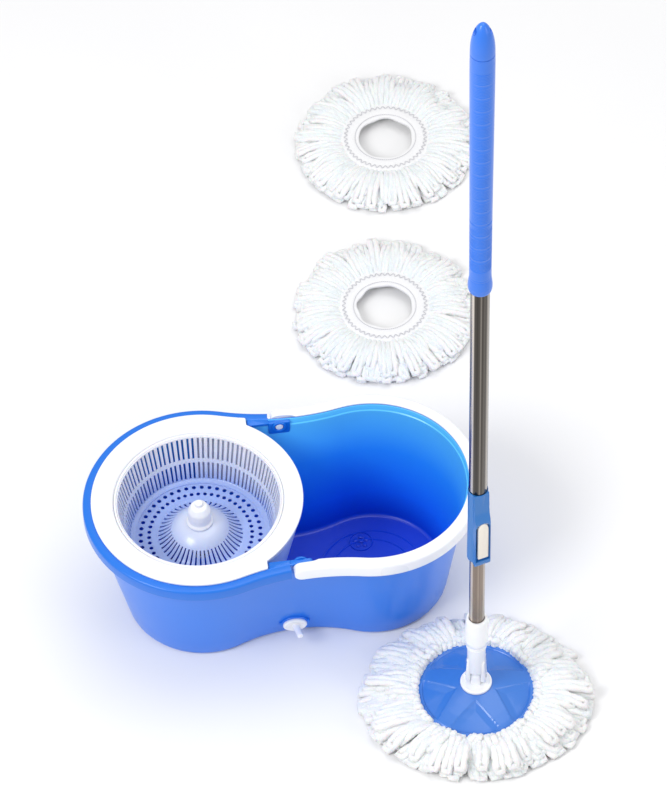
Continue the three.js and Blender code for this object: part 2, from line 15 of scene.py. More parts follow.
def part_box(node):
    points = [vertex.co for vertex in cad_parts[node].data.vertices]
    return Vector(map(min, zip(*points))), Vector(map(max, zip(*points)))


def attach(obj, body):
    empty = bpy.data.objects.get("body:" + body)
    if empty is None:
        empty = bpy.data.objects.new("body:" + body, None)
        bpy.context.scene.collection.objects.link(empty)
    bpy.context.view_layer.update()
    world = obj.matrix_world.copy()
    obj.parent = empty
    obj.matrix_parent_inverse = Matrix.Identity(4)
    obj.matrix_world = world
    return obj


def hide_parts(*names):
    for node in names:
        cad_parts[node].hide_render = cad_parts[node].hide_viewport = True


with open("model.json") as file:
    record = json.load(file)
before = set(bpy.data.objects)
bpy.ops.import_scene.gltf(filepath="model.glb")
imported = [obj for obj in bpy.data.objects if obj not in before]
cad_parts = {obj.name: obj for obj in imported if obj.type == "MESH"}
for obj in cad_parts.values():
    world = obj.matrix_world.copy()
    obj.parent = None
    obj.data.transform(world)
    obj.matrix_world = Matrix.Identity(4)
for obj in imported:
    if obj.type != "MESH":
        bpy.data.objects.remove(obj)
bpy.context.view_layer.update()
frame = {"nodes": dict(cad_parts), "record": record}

MM = 0.001
TAU = 2 * math.pi


# ---------------------------------------------------------------- camera
CAM_AZIMUTH = math.radians(-6.27)
CAM_ELEVATION = math.radians(51)
CAM_ROLL = math.radians(-1.46)
CAM_AIM = Vector((0.0729, 0.0626, 0.278))
CAM_DISTANCE = 6.131
CAM_LENS = 225


def make_camera():
    flat = math.cos(CAM_ELEVATION)
    side, near = math.sin(CAM_AZIMUTH) * flat, -math.cos(CAM_AZIMUTH) * flat
    back = Vector((side, near, math.sin(CAM_ELEVATION)))
    data = bpy.data.cameras.new("camera")
    data.lens = CAM_LENS
    data.clip_end = 60
    cam = bpy.data.objects.new("camera", data)
    bpy.context.collection.objects.link(cam)
    cam.location = CAM_AIM + back * CAM_DISTANCE
    turn = back.to_track_quat("Z", "Y").to_matrix().to_4x4()
    roll = turn @ Matrix.Rotation(CAM_ROLL, 4, "Z")
    cam.rotation_euler = roll.to_euler()
    bpy.context.scene.camera = cam


make_camera()


# ---------------------------------------------------------------- sizes taken from the frame
def box_mm(node):
    low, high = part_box(node)
    return [v / MM for v in low], [v / MM for v in high]


def axis_of(node):
    low, high = box_mm(node)
    return (low[0] + high[0]) / 2, (low[1] + high[1]) / 2


def span_z(node):
    low, high = box_mm(node)
    return low[2], high[2]


HEIGHT = box_mm("bucket_shell")[1][2]
SPIN_X = axis_of("basket_spindle")[0]
MOP = axis_of("upper_tube")
SPARES = [axis_of("spare_band_1"), axis_of("spare_band_2")]

# The bucket's driving dimensions, as in the CAD part.
WASH_X = 110
WALL = 2.5
SPIN_R = (96, 134)
WASH_R = (94, 123)
WAIST_R = (190, 300)
RIM_END_X = -3
PIVOT_X, PIVOT_Z = 9, HEIGHT - 7
COLLAR_R, COLLAR_OPEN, TAB_X = 129, 105, SPIN_X + 72
BRACKET = ((-5, 23), (107, 113.6))
DRAIN = axis_of("plug_seal")[0], sum(span_z("plug_seal")) / 2
DRAIN_OVAL = 0.72
PEG_LEAN = math.radians(13)
HEAD_TURN = math.radians(-16)
HEAD_FRONT = math.radians(-6)  # the way the star's front point and the long side of the skirt face
LEVER_TURN = math.radians(15)
TILT_Z = 56.5
YOKE_FOOT, EAR_TOP = 70, 93
SEAL_TO_FACE = 5.2  # from the plug seal's outer face to the face that the cap rests on
TUBE_BORE, SLIDE_BORE = 11.3, 9.75  # the clamp sleeve's two bores, round the two tubes


# ---------------------------------------------------------------- node material helpers
def srgb(r, g, b):
    def lin(c):
        c /= 255
        return c / 12.92 if c <= 0.04045 else ((c + 0.055) / 1.055) ** 2.4

    return (lin(r), lin(g), lin(b), 1)


class Nodes:
    """A new material with its Principled shader and a few ways of adding nodes to it."""

    def __init__(self, name):
        self.mat = bpy.data.materials.new(name)
        self.mat.use_nodes = True
        self.tree = self.mat.node_tree
        self.shader = self.tree.nodes["Principled BSDF"]
        self.coord = self.add("ShaderNodeTexCoord").outputs["Object"]

    def add(self, kind, **settings):
        node = self.tree.nodes.new(kind)
        for key, value in settings.items():
            setattr(node, key, value)
        return node

    def link(self, a, b):
        self.tree.links.new(a, b)

    def set(self, **values):
        for key, value in values.items():
            self.shader.inputs[key.replace("_", " ")].default_value = value

    def noise(self, scale, detail=2.0, rough=0.5, stretch=(1, 1, 1)):
        mapping = self.add("ShaderNodeMapping")
        mapping.inputs["Scale"].default_value = stretch
        self.link(self.coord, mapping.inputs["Vector"])
        node = self.add("ShaderNodeTexNoise")
        node.inputs["Scale"].default_value = scale
        node.inputs["Detail"].default_value = detail
        node.inputs["Roughness"].default_value = rough
        self.link(mapping.outputs["Vector"], node.inputs["Vector"])
        return node.outputs["Fac"]

    def ramp(self, fac, *stops):
        node = self.add("ShaderNodeValToRGB")
        self.link(fac, node.inputs["Fac"])
        marks = node.color_ramp.elements
        while len(marks) < len(stops):
            marks.new(0.5)
        for mark, (at, colour) in zip(marks, stops):
            mark.position = at
            mark.color = colour if hasattr(colour, "__len__") else (colour, colour, colour, 1)
        return node.outputs["Color"]

    def mix(self, fac, a, b):
        node = self.add("ShaderNodeMix", data_type="RGBA")
        # the sockets named A and B come once for each data type, so the colour ones are found by type
        colours = [socket for socket in node.inputs if socket.type == "RGBA"]
        for value, socket in ((fac, node.inputs["Factor"]), (a, colours[0]), (b, colours[1])):
            if isinstance(value, bpy.types.NodeSocket):
                self.link(value, socket)
            else:
                socket.default_value = value
        return next(socket for socket in node.outputs if socket.type == "RGBA")

    def bump(self, height, strength, distance):
        node = self.add("ShaderNodeBump")
        node.inputs["Strength"].default_value = strength
        node.inputs["Distance"].default_value = distance
        self.link(height, node.inputs["Height"])
        self.link(node.outputs["Normal"], self.shader.inputs["Normal"])


def lighter(colour, k):
    return tuple(min(1, c * k) for c in colour[:3]) + (1,)


def moulded(name, colour, rough=0.3, grain=0.12, coat=0.2, deep=0.0, shade_by_height=None):
    """Moulded plastic: faint cloudiness, a fine pebbled skin, rubbed lighter edges and uneven gloss.

    Height pairs, (height in mm, colour): painted light and shade, the colour lighter higher up and
    darker lower down."""
    n = Nodes(name)
    # painted light and shade: the base colour follows the height, darker lower down
    if shade_by_height:
        low, high = shade_by_height[0][0], shade_by_height[-1][0]
        split = n.add("ShaderNodeSeparateXYZ")
        n.link(n.coord, split.inputs["Vector"])
        up = n.add("ShaderNodeMapRange")
        up.inputs["From Min"].default_value = low * MM
        up.inputs["From Max"].default_value = high * MM
        n.link(split.outputs["Z"], up.inputs["Value"])
        base = n.ramp(up.outputs["Result"], *[((z - low) / (high - low), c) for z, c in shade_by_height])
        tone = n.mix(n.ramp(n.noise(5, 1), (0.3, 0.0), (0.7, 0.06)), base, colour)
    else:
        tone = n.ramp(n.noise(5, 1), (0.2, lighter(colour, 0.97)), (0.8, lighter(colour, 1.03)))
    edge = n.add("ShaderNodeNewGeometry").outputs["Pointiness"]
    worn = n.ramp(edge, (0.58, 0), (0.75, 0.2))
    tone = n.mix(worn, tone, lighter(colour, 1.35))
    n.link(tone, n.shader.inputs["Base Color"])
    gloss = n.ramp(n.noise(8, 1), (0.2, rough * 0.94), (0.8, rough * 1.08))
    n.link(gloss, n.shader.inputs["Roughness"])
    n.bump(n.noise(420, 1), grain, 0.0002)
    n.set(Coat_Weight=coat, Coat_Roughness=0.12, IOR=1.49)
    if deep:
        n.set(Subsurface_Weight=deep, Subsurface_Scale=0.01)
        n.shader.inputs["Subsurface Radius"].default_value = (0.3, 0.5, 1.0)
    return n.mat


# Painted reflections of a polished tube, lengthways light and dark streaks: (share of a turn,
# brightness).
PAINTED_REFLECTION_STREAKS = (
    (0.0, 0.15), (0.04, 0.02), (0.08, 0.7), (0.11, 1.0), (0.14, 0.05), (0.19, 0.02),
    (0.225, 0.05), (0.25, 0.28), (0.27, 0.03), (0.31, 0.12), (0.34, 0.03), (0.37, 0.35),
    (0.4, 0.5), (0.43, 0.08), (0.47, 0.03), (0.53, 0.6), (0.6, 0.05), (0.68, 0.9),
    (0.73, 0.08), (0.8, 0.4), (0.86, 0.03), (0.93, 0.7), (1.0, 0.15),
)


def drawn_steel(name, bright, reflection_dark=None, centre=None):
    """Polished steel with fine lines along Z; a tube about centre also has painted reflections, streaks
    from bright down to dark round it.
    """
    n = Nodes(name)
    if centre:
        about = n.add("ShaderNodeMapping")
        about.inputs["Location"].default_value = (-centre[0] * MM, -centre[1] * MM, 0)
        n.link(n.coord, about.inputs["Vector"])
        turn = n.add("ShaderNodeTexGradient", gradient_type="RADIAL")
        n.link(about.outputs["Vector"], turn.inputs["Vector"])
        # painted reflections: the brightness follows the angle round the tube
        reflection_level = n.ramp(turn.outputs["Fac"], *PAINTED_REFLECTION_STREAKS)
        reflection_level = n.mix(0.06, reflection_level, n.noise(300, 2, 0.55, (1, 1, 0.004)))
        tone = n.mix(reflection_level, reflection_dark, bright)
    else:
        tone = n.ramp(n.noise(40, 2), (0.3, lighter(bright, 0.85)), (0.7, bright))
    n.link(tone, n.shader.inputs["Base Color"])
    lines = n.noise(2600, 2, 0.6, (1, 1, 0.004))
    n.link(n.ramp(lines, (0.3, 0.12), (0.75, 0.3)), n.shader.inputs["Roughness"])
    n.bump(lines, 0.08, 0.0001)
    n.set(Metallic=1)
    return n.mat


def microfibre(name, colour):
    """White pile yarn: small tufts, soft sheen and painted shade that greys the hollows between tufts.
    """
    n = Nodes(name)
    tufts = n.add("ShaderNodeTexVoronoi", feature="F1")
    tufts.inputs["Scale"].default_value = 520
    n.link(n.coord, tufts.inputs["Vector"])
    fuzz = n.noise(1500, 3, 0.65)
    # painted shade: greyer towards each tuft's edge, in the hollows between tufts
    tone = n.ramp(tufts.outputs["Distance"], (0.1, colour), (0.75, lighter(colour, 0.9)))
    tone = n.mix(n.noise(60, 2), tone, lighter(colour, 0.96))
    n.link(tone, n.shader.inputs["Base Color"])
    high = n.mix(0.45, n.ramp(tufts.outputs["Distance"], (0.0, 1), (0.8, 0)), fuzz)
    n.bump(high, 0.9, 0.0012)
    n.set(Roughness=0.95, Sheen_Weight=0.35, Sheen_Roughness=0.5)
    n.set(Subsurface_Weight=0.15, Subsurface_Scale=0.004)
    return n.mat


def felt(name, colour):
    n = Nodes(name)
    weave = n.noise(1100, 4, 0.7)
    tone = n.ramp(weave, (0.3, lighter(colour, 0.88)), (0.7, colour))
    n.link(tone, n.shader.inputs["Base Color"])
    n.bump(weave, 0.5, 0.0008)
    n.set(Roughness=0.95, Sheen_Weight=0.3, Sheen_Roughness=0.5)
    return n.mat


def rubber(name, colour):
    n = Nodes(name)
    tone = n.ramp(n.noise(200, 3), (0.3, lighter(colour, 0.85)), (0.7, colour))
    n.link(tone, n.shader.inputs["Base Color"])
    n.bump(n.noise(1400, 2), 0.2, 0.0002)
    n.set(Roughness=0.75)
    return n.mat


MATS = {
    "bucket_out": moulded("bucket_out", srgb(38, 122, 232), 0.3, 0.03, 0.12),
    # bucket_in: painted light and shade on the bucket's blue plastic, lighter near the rim and darker
    # down to the floor
    "bucket_in": moulded("bucket_in", srgb(30, 124, 244), 0.32, 0.03, 0.12, shade_by_height=(
        (3, srgb(0, 62, 208)),
        (45, srgb(18, 118, 253)),
        (115, srgb(42, 152, 255)),
        (188, srgb(96, 204, 255)),
    )),
    # rim_blue: a darker copy of the bucket's blue, painted shade to darken the rim's up-facing top
    "rim_blue": moulded("rim_blue", srgb(14, 112, 218), 0.3, 0.03, 0.1),
    "bucket_blue": moulded("bucket_blue", srgb(40, 118, 240), 0.25, 0.06, 0.3),
    "grip_blue": moulded("grip_blue", srgb(48, 118, 226), 0.33, 0.12, 0.1),
    "plate_blue": moulded("plate_blue", srgb(60, 120, 206), 0.24, 0.08, 0.2),
    "sleeve_blue": moulded("sleeve_blue", srgb(36, 114, 190), 0.34, 0.25, 0.1),
    "white_plastic": moulded("white_plastic", srgb(243, 245, 250), 0.28, 0.06, 0.3, 0.1),
    # basket_white: painted shade, bluer and darker lower down the basket
    "basket_white": moulded("basket_white", srgb(226, 233, 250), 0.3, 0.05, 0.3, 0.3, shade_by_height=(
        (118, srgb(146, 170, 236)),
        (134, srgb(186, 200, 243)),
        (152, srgb(216, 224, 249)),
        (189, srgb(238, 241, 252)),
    )),
    "nylon": moulded("nylon", srgb(224, 228, 236), 0.5, 0.2, 0.0),
    "ivory_plastic": moulded("ivory_plastic", srgb(238, 232, 220), 0.35, 0.12, 0.15),
    # both tubes: painted reflections, streaks between the first (bright) and the second (dark) colour
    "stainless_tube": drawn_steel("stainless_tube", srgb(232, 222, 210), srgb(26, 22, 20), MOP),
    "stainless_inner": drawn_steel("stainless_inner", srgb(222, 208, 196), srgb(128, 114, 104), MOP),
    "zinc_steel": drawn_steel("zinc_steel", srgb(190, 190, 192)),
    "seal_rubber": rubber("seal_rubber", srgb(120, 124, 130)),
    "microfibre": microfibre("microfibre", srgb(252, 252, 252)),
    "felt_band": felt("felt_band", srgb(246, 246, 247)),
    "thread": felt("thread", srgb(212, 212, 216)),
}


# ---------------------------------------------------------------- mesh helpers
def smooth(obj, sharp):
    """Smooth shading, with edges above the given angle in degrees left sharp."""
    obj.data.polygons.foreach_set("use_smooth", [True] * len(obj.data.polygons))
    obj.data.set_sharp_from_angle(angle=math.radians(sharp))
    return obj


def applied(obj, kind, **settings):
    """Adds a modifier and applies it to the mesh."""
    mod = obj.modifiers.new("shape", kind)
    for key, value in settings.items():
        setattr(mod, key, value)
    bpy.context.view_layer.objects.active = obj
    bpy.ops.object.modifier_apply(modifier=mod.name)


def new_piece(name, verts_mm, faces, mats, face_mats=None, sharp=40):
    """An object from vertices in millimetres; faces meet sharply above the given angle in degrees."""
    mesh = bpy.data.meshes.new(name)
    mesh.from_pydata([tuple(c * MM for c in v) for v in verts_mm], [], faces)
    for mat in mats:
        mesh.materials.append(MATS[mat])
    if face_mats is not None:
        mesh.polygons.foreach_set("material_index", face_mats)
    mesh.update()
    obj = bpy.data.objects.new(name, mesh)
    bpy.context.collection.objects.link(obj)
    return smooth(obj, sharp)


def joined(name, *objects):
    """Several objects as one, named name."""
    bpy.ops.object.select_all(action="DESELECT")
    for o in objects:
        o.select_set(True)
    bpy.context.view_layer.objects.active = objects[0]
    bpy.ops.object.join()
    objects[0].name = name
    return objects[0]


def place(obj, node, body):
    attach(obj, body)
    if node:
        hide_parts(*([node] if isinstance(node, str) else node))
    return obj


def polar(centre, r, turn):
    return centre[0] + r * math.cos(turn), centre[1] + r * math.sin(turn)


def fillet(points, radii, steps=5, closed=False):
    """A polyline with its corners rounded: radii is one number or one for each point."""
    n = len(points)
    radii = [radii] * n if isinstance(radii, (int, float)) else radii
    out = []
    for i, p in enumerate(points):
        if radii[i] <= 0 or (not closed and i in (0, n - 1)):
            out.append(tuple(p))
            continue
        p, a, b = (np.array(q, float) for q in (p, points[i - 1], points[(i + 1) % n]))
        la, lb = np.linalg.norm(a - p), np.linalg.norm(b - p)
        ua, ub = (a - p) / la, (b - p) / lb
        half = math.acos(max(-1, min(1, float(ua @ ub)))) / 2
        if half < 0.02 or half > math.pi / 2 - 0.02:
            out.append(tuple(p))
            continue
        cut = min(radii[i] / math.tan(half), 0.49 * la, 0.49 * lb)
        start, end = p + ua * cut, p + ub * cut
        for k in range(steps + 1):
            t = k / steps
            out.append(tuple((1 - t) ** 2 * start + 2 * t * (1 - t) * p + t * t * end))
    return out


def turned_data(profile, centre=(0, 0), n=96, closed=True, bend=None):
    """Vertices and faces of a profile of (radius, z) turned about a vertical axis."""
    rings = [[(*polar(centre, r, TAU * i / n), z) for r, z in profile] for i in range(n)]
    if bend:
        rings = [[bend(v) for v in ring] for ring in rings]
    m = len(profile)
    verts = [v for ring in rings for v in ring]
    faces = []
    for i in range(n):
        j = (i + 1) % n
        for k in range(m if closed else m - 1):
            l = (k + 1) % m
            faces.append((i * m + k, j * m + k, j * m + l, i * m + l))
    return verts, faces


def clean(obj):
    """Merges coincident vertices, drops collapsed faces and turns all faces outwards."""
    bm = bmesh.new()
    bm.from_mesh(obj.data)
    bmesh.ops.remove_doubles(bm, verts=bm.verts, dist=2e-6)
    bmesh.ops.dissolve_degenerate(bm, edges=bm.edges, dist=1e-7)
    bmesh.ops.recalc_face_normals(bm, faces=bm.faces)
    bm.to_mesh(obj.data)
    bm.free()
    obj.data.update()
    return obj


def turned(name, profile, mat, centre=(0, 0), n=96, closed=True, sharp=40):
    verts, faces = turned_data(profile, centre, n, closed)
    return clean(new_piece(name, verts, faces, [mat], sharp=sharp))


def skin(rings, start=0, closed=False):
    """The faces between neighbouring rings, whose vertices are numbered from start."""
    m, count = len(rings[0]), len(rings)
    faces = []
    for i in range(count if closed else count - 1):
        a, b = start + i * m, start + (i + 1) % count * m
        faces += [(a + k, a + (k + 1) % m, b + (k + 1) % m, b + k) for k in range(m)]
    return faces


def end_faces(rings, start=0):
    """The two faces that close the first and the last ring."""
    m, last = len(rings[0]), start + (len(rings) - 1) * len(rings[0])
    return [tuple(range(start + m - 1, start - 1, -1)), tuple(range(last, last + m))]


def swept(name, rings, mat, ends=True, closed=False, sharp=40):
    """A tube through rings of equal length, each a list of points."""
    verts = [v for ring in rings for v in ring]
    faces = skin(rings, closed=closed)
    if ends and not closed:
        faces += end_faces(rings)
    return clean(new_piece(name, verts, faces, [mat], sharp=sharp))


def slab(name, outline, z0, z1, mat, place_point=None, soften=1.0):
    """A flat piece with an outline of (x, y), from z0 to z1, with softened edges."""
    rings = []
    low, high = min(z0, z1), max(z0, z1)
    centre = np.mean(np.array(outline), axis=0)
    part = 0.3 * soften
    levels = [(soften, low), (part, low + part), (0, low + soften)]
    levels += [(0, high - soften), (part, high - part), (soften, high)]
    for inset, z in levels:
        ring = []
        for p in outline:
            d = np.array(p) - centre
            length = max(np.linalg.norm(d), 1e-6)
            q = np.array(p) - d / length * inset
            ring.append((q[0], q[1], z))
        rings.append(ring)
    if place_point:
        rings = [[place_point(v) for v in ring] for ring in rings]
    return swept(name, rings, mat)


def about_z(points, turn, centre=(0, 0)):
    c, s = math.cos(turn), math.sin(turn)
    return [(centre[0] + x * c - y * s, centre[1] + x * s + y * c, z) for x, y, z in points]


# ---------------------------------------------------------------- the bucket's outline
def arc(cx, cy, r, a, b, n):
    return [polar((cx, cy), r, a + (b - a) * i / n) for i in range(n + 1)]


def waist_centre(spin_r, wash_r, waist_r):
    """The centre of the waist's arc: how far along from the spinner lobe's axis, and how far out."""
    a, b, span = spin_r + waist_r, wash_r + waist_r, WASH_X - SPIN_X
    along = (a * a - b * b + span * span) / (2 * span)
    return along, math.sqrt(a * a - along * along)


def lobed(spin_r, wash_r, waist_r, out):
    """The bucket's outline: two lobes joined by inward waist arcs, all moved outwards by out."""
    along, waist_y = waist_centre(spin_r, wash_r, waist_r)
    waist_x = SPIN_X + along
    st, wt = math.atan2(waist_y, along), math.atan2(waist_y, waist_x - WASH_X)
    line = arc(SPIN_X, 0, spin_r + out, st, TAU - st, 120)
    line += arc(waist_x, -waist_y, waist_r - out, math.pi - st, math.pi - wt, 30)[1:-1]
    line += arc(WASH_X, 0, wash_r + out, -wt, wt, 110)
    line += arc(waist_x, waist_y, waist_r - out, math.pi + wt, math.pi + st, 30)[1:-1]
    return line


def wall_line(z, out=0):
    t = z / HEIGHT
    spin, wash, waist = (lo + (hi - lo) * t for lo, hi in (SPIN_R, WASH_R, WAIST_R))
    return lobed(spin, wash, waist, out)


def one_run(line, wanted):
    """The numbers of a closed line's points whose x is wanted, in order as one run."""
    keep = [i for i, (x, _) in enumerate(line) if wanted(x)]
    first = next(i for i in keep if (i - 1) % len(line) not in keep)
    return [(first + k) % len(line) for k in range(len(keep))]


def waist_half(x, z, out=0):
    """Half the bucket's width at x near the waist."""
    points = [(px, py) for px, py in wall_line(z, out) if py > 0]
    points.sort()
    xs, ys = zip(*points)
    return float(np.interp(x, xs, ys))


# ---------------------------------------------------------------- bucket
def bucket_wall():
    foot, top, floor, corner = 6, 1.25, 3.2, 5
    inside = WALL + 0.4
    # the wall's section as (z, how far outside the outline), from the foot over the top to the floor
    outer = arc(foot, -foot, foot, math.pi, math.pi / 2, 6)
    outer += [(z, 0) for z in np.linspace(30, HEIGHT - 12, 6)]
    lip = arc(HEIGHT - top, -top, top, math.pi / 2, -math.pi / 2, 6)
    inner = [(HEIGHT - 8, -WALL), (HEIGHT - 9, -WALL - 1.0), (HEIGHT - 11, -WALL - 1.0)]
    inner += [(z, -inside) for z in np.linspace(HEIGHT - 14, 30, 6)]
    inner += arc(floor + corner, -inside - corner, corner, math.pi / 2, math.pi, 6)
    rings = [[(x, y, z) for x, y in wall_line(z, out)] for z, out in outer + lip + inner]
    verts = [v for ring in rings for v in ring]
    inner_from = len(outer) + 4
    kinds = [int(i >= inner_from) for i in range(len(rings) - 1) for _ in rings[0]] + [0, 1]
    faces = skin(rings) + end_faces(rings)
    return clean(new_piece("bucket_wall", verts, faces, ["bucket_out", "bucket_in"], kinds, 35))


def rolled_rim():
    """The overhanging rim of the spinner lobe, open underneath, ending beside the handle."""
    h = HEIGHT
    section = fillet(
        [(-1.2, h - 2.2), (-1.2, h), (9, h), (9, h - 16), (7.2, h - 16), (7.2, h - 3), (1, h - 3.4)],
        [0, 0.8, 3.6, 1.0, 0.6, 2.0, 0],
        closed=True,
    )
    lines = {out: wall_line(h, out) for out, _ in section}
    order = one_run(wall_line(h, 4), lambda x: x < RIM_END_X)
    rings = [[(*lines[out][i], z) for out, z in section] for i in order]
    return swept("rolled_rim", rings, "rim_blue")


def waist_ledges():
    """Flat ledges between the collar's tabs and the handle brackets, flush with the rim."""
    made = []
    for side in (-1, 1):
        xs = np.linspace(TAB_X + 1.2, BRACKET[0][0] + 1, 9)
        inner = []
        for x in xs:
            round_y = math.sqrt(max(0, (COLLAR_R + 1.4) ** 2 - (x - SPIN_X) ** 2))
            inner.append((x, side * max(BRACKET[1][0] + 0.5, round_y)))
        outer = [(x, side * (waist_half(x, HEIGHT) + 0.5)) for x in xs[::-1]]
        made.append(slab("ledge", inner + outer, HEIGHT - 4, HEIGHT - 0.2, "rim_blue", soften=0.5))
    return made


def handle_brackets():
    made = []
    for side in (-1, 1):
        (x0, x1), (y0, y1) = BRACKET
        outline = fillet([(x0, y0), (x1, y0), (x1, y1), (x0, y1)], 3, 4, True)
        outline = [(x, side * y) for x, y in outline]
        made.append(slab("bracket", outline, HEIGHT - 21, HEIGHT - 0.8, "rim_blue", soften=1.2))
        ring = fillet([(5.6, 0), (8.6, 0), (8.6, 2.2), (7.8, 3), (6.2, 3), (5.6, 2.4)], 0.5, 3, True)
        verts, faces = turned_data(ring, n=48)
        verts = [(PIVOT_X + x, side * (BRACKET[1][0] + 0.6 - z), PIVOT_Z + y) for x, y, z in verts]
        made.append(clean(new_piece("peg_ring", verts, faces, ["rim_blue"])))
    return made


def drain_boss():
    """The oval seat of the plug, with its hole and a small wing at each side."""
    x, z = DRAIN
    face = box_mm("plug_seal")[0][1] - SEAL_TO_FACE
    section = [(8.2, 0), (14.6, 0), (16, 1.4), (16, 20), (8.2, 20)]
    section = fillet(section, [0.8, 0.5, 0.8, 0, 0], 4, True)
    verts, faces = turned_data(section, n=64)
    verts = [(x + a, face + depth, z + b * DRAIN_OVAL) for a, b, depth in verts]
    boss = clean(new_piece("drain_boss", verts, faces, ["bucket_out"]))

    def upright(v):
        return (v[0], v[2], v[1])

    wings = []
    for side in (-1, 1):
        wing = fillet([(15, -3), (19, -2.4), (19, 2.4), (15, 3)], 0.8, 3, True)
        wing = [(x + side * a, z - 1 + b) for a, b in wing]
        wings.append(slab("drain_wing", wing, face + 1, face + 16, "bucket_out", upright, 0.5))
    return [boss, *wings]


def floor_relief():
    """Moulded rings and a small lobed boss on the floor of the wash lobe."""
    made = []
    for r in (66, 52):
        section = [(r - 1.6, 3), (r - 0.8, 4.1), (r + 0.8, 4.1), (r + 1.6, 3)]
        made.append(turned("floor_ring", section, "bucket_in", (WASH_X, 0), 128))
    centre = (WASH_X - 8, 50)
    ring = [(13.2, 3), (13.6, 4.6), (14.8, 4.6), (15.4, 3)]
    made.append(turned("boss_ring", ring, "bucket_in", centre, 64))
    petals = [(polar(centre, 7.2, TAU * k / 5 + 0.3), 4.8) for k in range(5)]
    for at, top in [*petals, (centre, 5.2)]:
        outline = arc(*at, 2.9, 0, TAU, 20)[:-1]
        made.append(slab("boss_petal", outline, 2.8, top, "bucket_in", soften=0.6))
    return made


def build_bucket():
    parts = [bucket_wall(), rolled_rim(), *waist_ledges(), *handle_brackets()]
    parts += [*drain_boss(), *floor_relief()]
    place(joined("bucket_body", *parts), "bucket_shell", "bucket")
    z0, z1 = span_z("spindle_post")
    cup, well = 70, 50
    profile = fillet(
        [(0, z0), (30, z0), (30, z0 + 3), (17, z0 + 10), (13, z1),
         (8.3, z1), (8.3, cup), (4.8, cup), (4.8, well), (0, well)],
        [0, 0.8, 1, 8, 0.8, 0.5, 0, 0, 0, 0],
    )
    post = turned("bearing_post", profile, "bucket_blue", (SPIN_X, 0), 64, False)
    place(post, "spindle_post", "bucket")


# ---------------------------------------------------------------- carry handle
def build_handle():
    h = HEIGHT
    section = fillet(
        [(-2.0, h + 0.5), (-2.0, h + 3), (13, h + 3), (13, h - 17), (1.1, h - 17), (1.1, h + 0.5)],
        [0.9, 1.2, 4.0, 2.6, 1.0, 0],
        closed=True,
    )
    mid = wall_line(h, 7)

    def ring(at, x_mid):
        narrow = min(1, max(0, (30 - x_mid) / 6))
        lower_limit = -2.0 + narrow * 3.1
        cache = {}
        points = []
        for out, z in section:
            out = max(out, lower_limit)
            if out not in cache:
                cache[out] = wall_line(h, out)[at]
            points.append((*cache[out], z))
        return points

    body = [ring(i, mid[i][0]) for i in one_run(mid, lambda x: x > PIVOT_X)]

    def end(edge, steps=8, radius=10):
        """The rounded end: the first or last ring carried on along -X and shrunk to a half circle."""
        rings = []
        start_x = float(np.mean([p[0] for p in edge]))
        for k in range(1, steps + 1):
            a = k / steps * math.pi / 2
            far = radius * math.sin(a)
            tall = max(math.cos(a), 0.03)
            shift = (PIVOT_X - far) - start_x
            rings.append([(x + shift, y, PIVOT_Z + (z - PIVOT_Z) * tall) for x, y, z in edge])
        return rings

    rings = end(body[0])[::-1] + body + end(body[-1])
    bow = swept("bow", rings, "white_plastic", sharp=50)
    pegs = []
    for side in (-1, 1):
        head = fillet([(0, 105), (4.4, 105), (5, 106.2), (5, 118), (0, 118)], [0, 1.0, 0.4, 0, 0], 4)
        verts, faces = turned_data(head, n=40, closed=False)
        verts = [(PIVOT_X + a, side * y, PIVOT_Z + b) for a, b, y in verts]
        pegs.append(clean(new_piece("peg", verts, faces, ["white_plastic"])))
    place(joined("handle_bow", bow, *pegs), "carry_handle", "handle")


# ---------------------------------------------------------------- drain plug
def build_plug():
    face, root = box_mm("plug_seal")[0][1] - SEAL_TO_FACE, box_mm("drain_plug")[1][1]
    x, z = DRAIN
    long = root - face
    stem = [(0, long), (7.2, long), (7.2, long - 7), (6, long - 7), (6, -1)]
    cap = fillet(
        [(0, -0.3), (15, -0.3), (15, -3), (12.6, -4.4), (9.6, -3.7), (0, -3.7)],
        [0, 0.6, 1.4, 1.4, 1.2, 0],
    )
    peg = [(0, -3), (5.4, -3), (4.3, -6), (3.9, -20.6), (2.8, -22), (0, -22)]
    peg = fillet(peg, [0, 0, 2, 1.0, 1.2, 0])

    def turned_out(name, profile, oval, lean):
        """A profile of (radius, depth behind the boss's face) turned about the plug's axis."""
        verts, faces = turned_data(profile, n=64, closed=False)
        c, s = math.cos(lean), math.sin(lean)
        verts = [(x + a * c - d * s, face + d * c + a * s, z + b * oval) for a, b, d in verts]
        return clean(new_piece(name, verts, faces, ["white_plastic"]))

    parts = [
        turned_out("stem", stem, 1, 0),
        turned_out("cap", cap, DRAIN_OVAL, 0),
        turned_out("peg", peg, 1, PEG_LEAN),
    ]
    place(joined("plug_cap", *parts), "drain_plug", "plug")


# ---------------------------------------------------------------- collar and basket
def collar_radius(turn):
    """The collar's outer radius in a direction: a circle on the wash side, the rim's line elsewhere."""
    turn = abs((turn + math.pi) % TAU - math.pi)
    tab = TAB_X - SPIN_X
    if turn < math.acos(tab / COLLAR_R):
        return COLLAR_R
    along, waist_y = waist_centre(SPIN_R[1], WASH_R[1], WAIST_R[1])
    rim = SPIN_R[1] - 1.4
    if turn < math.atan2(waist_y, along):
        away, far = turn - math.atan2(waist_y, along), math.hypot(along, waist_y)
        rim = far * math.cos(away) - math.sqrt((WAIST_R[1] + 1.4) ** 2 - (far * math.sin(away)) ** 2)
    if math.cos(turn) > 0:
        rim = min(rim, max(COLLAR_R, tab / math.cos(turn)))
    return rim


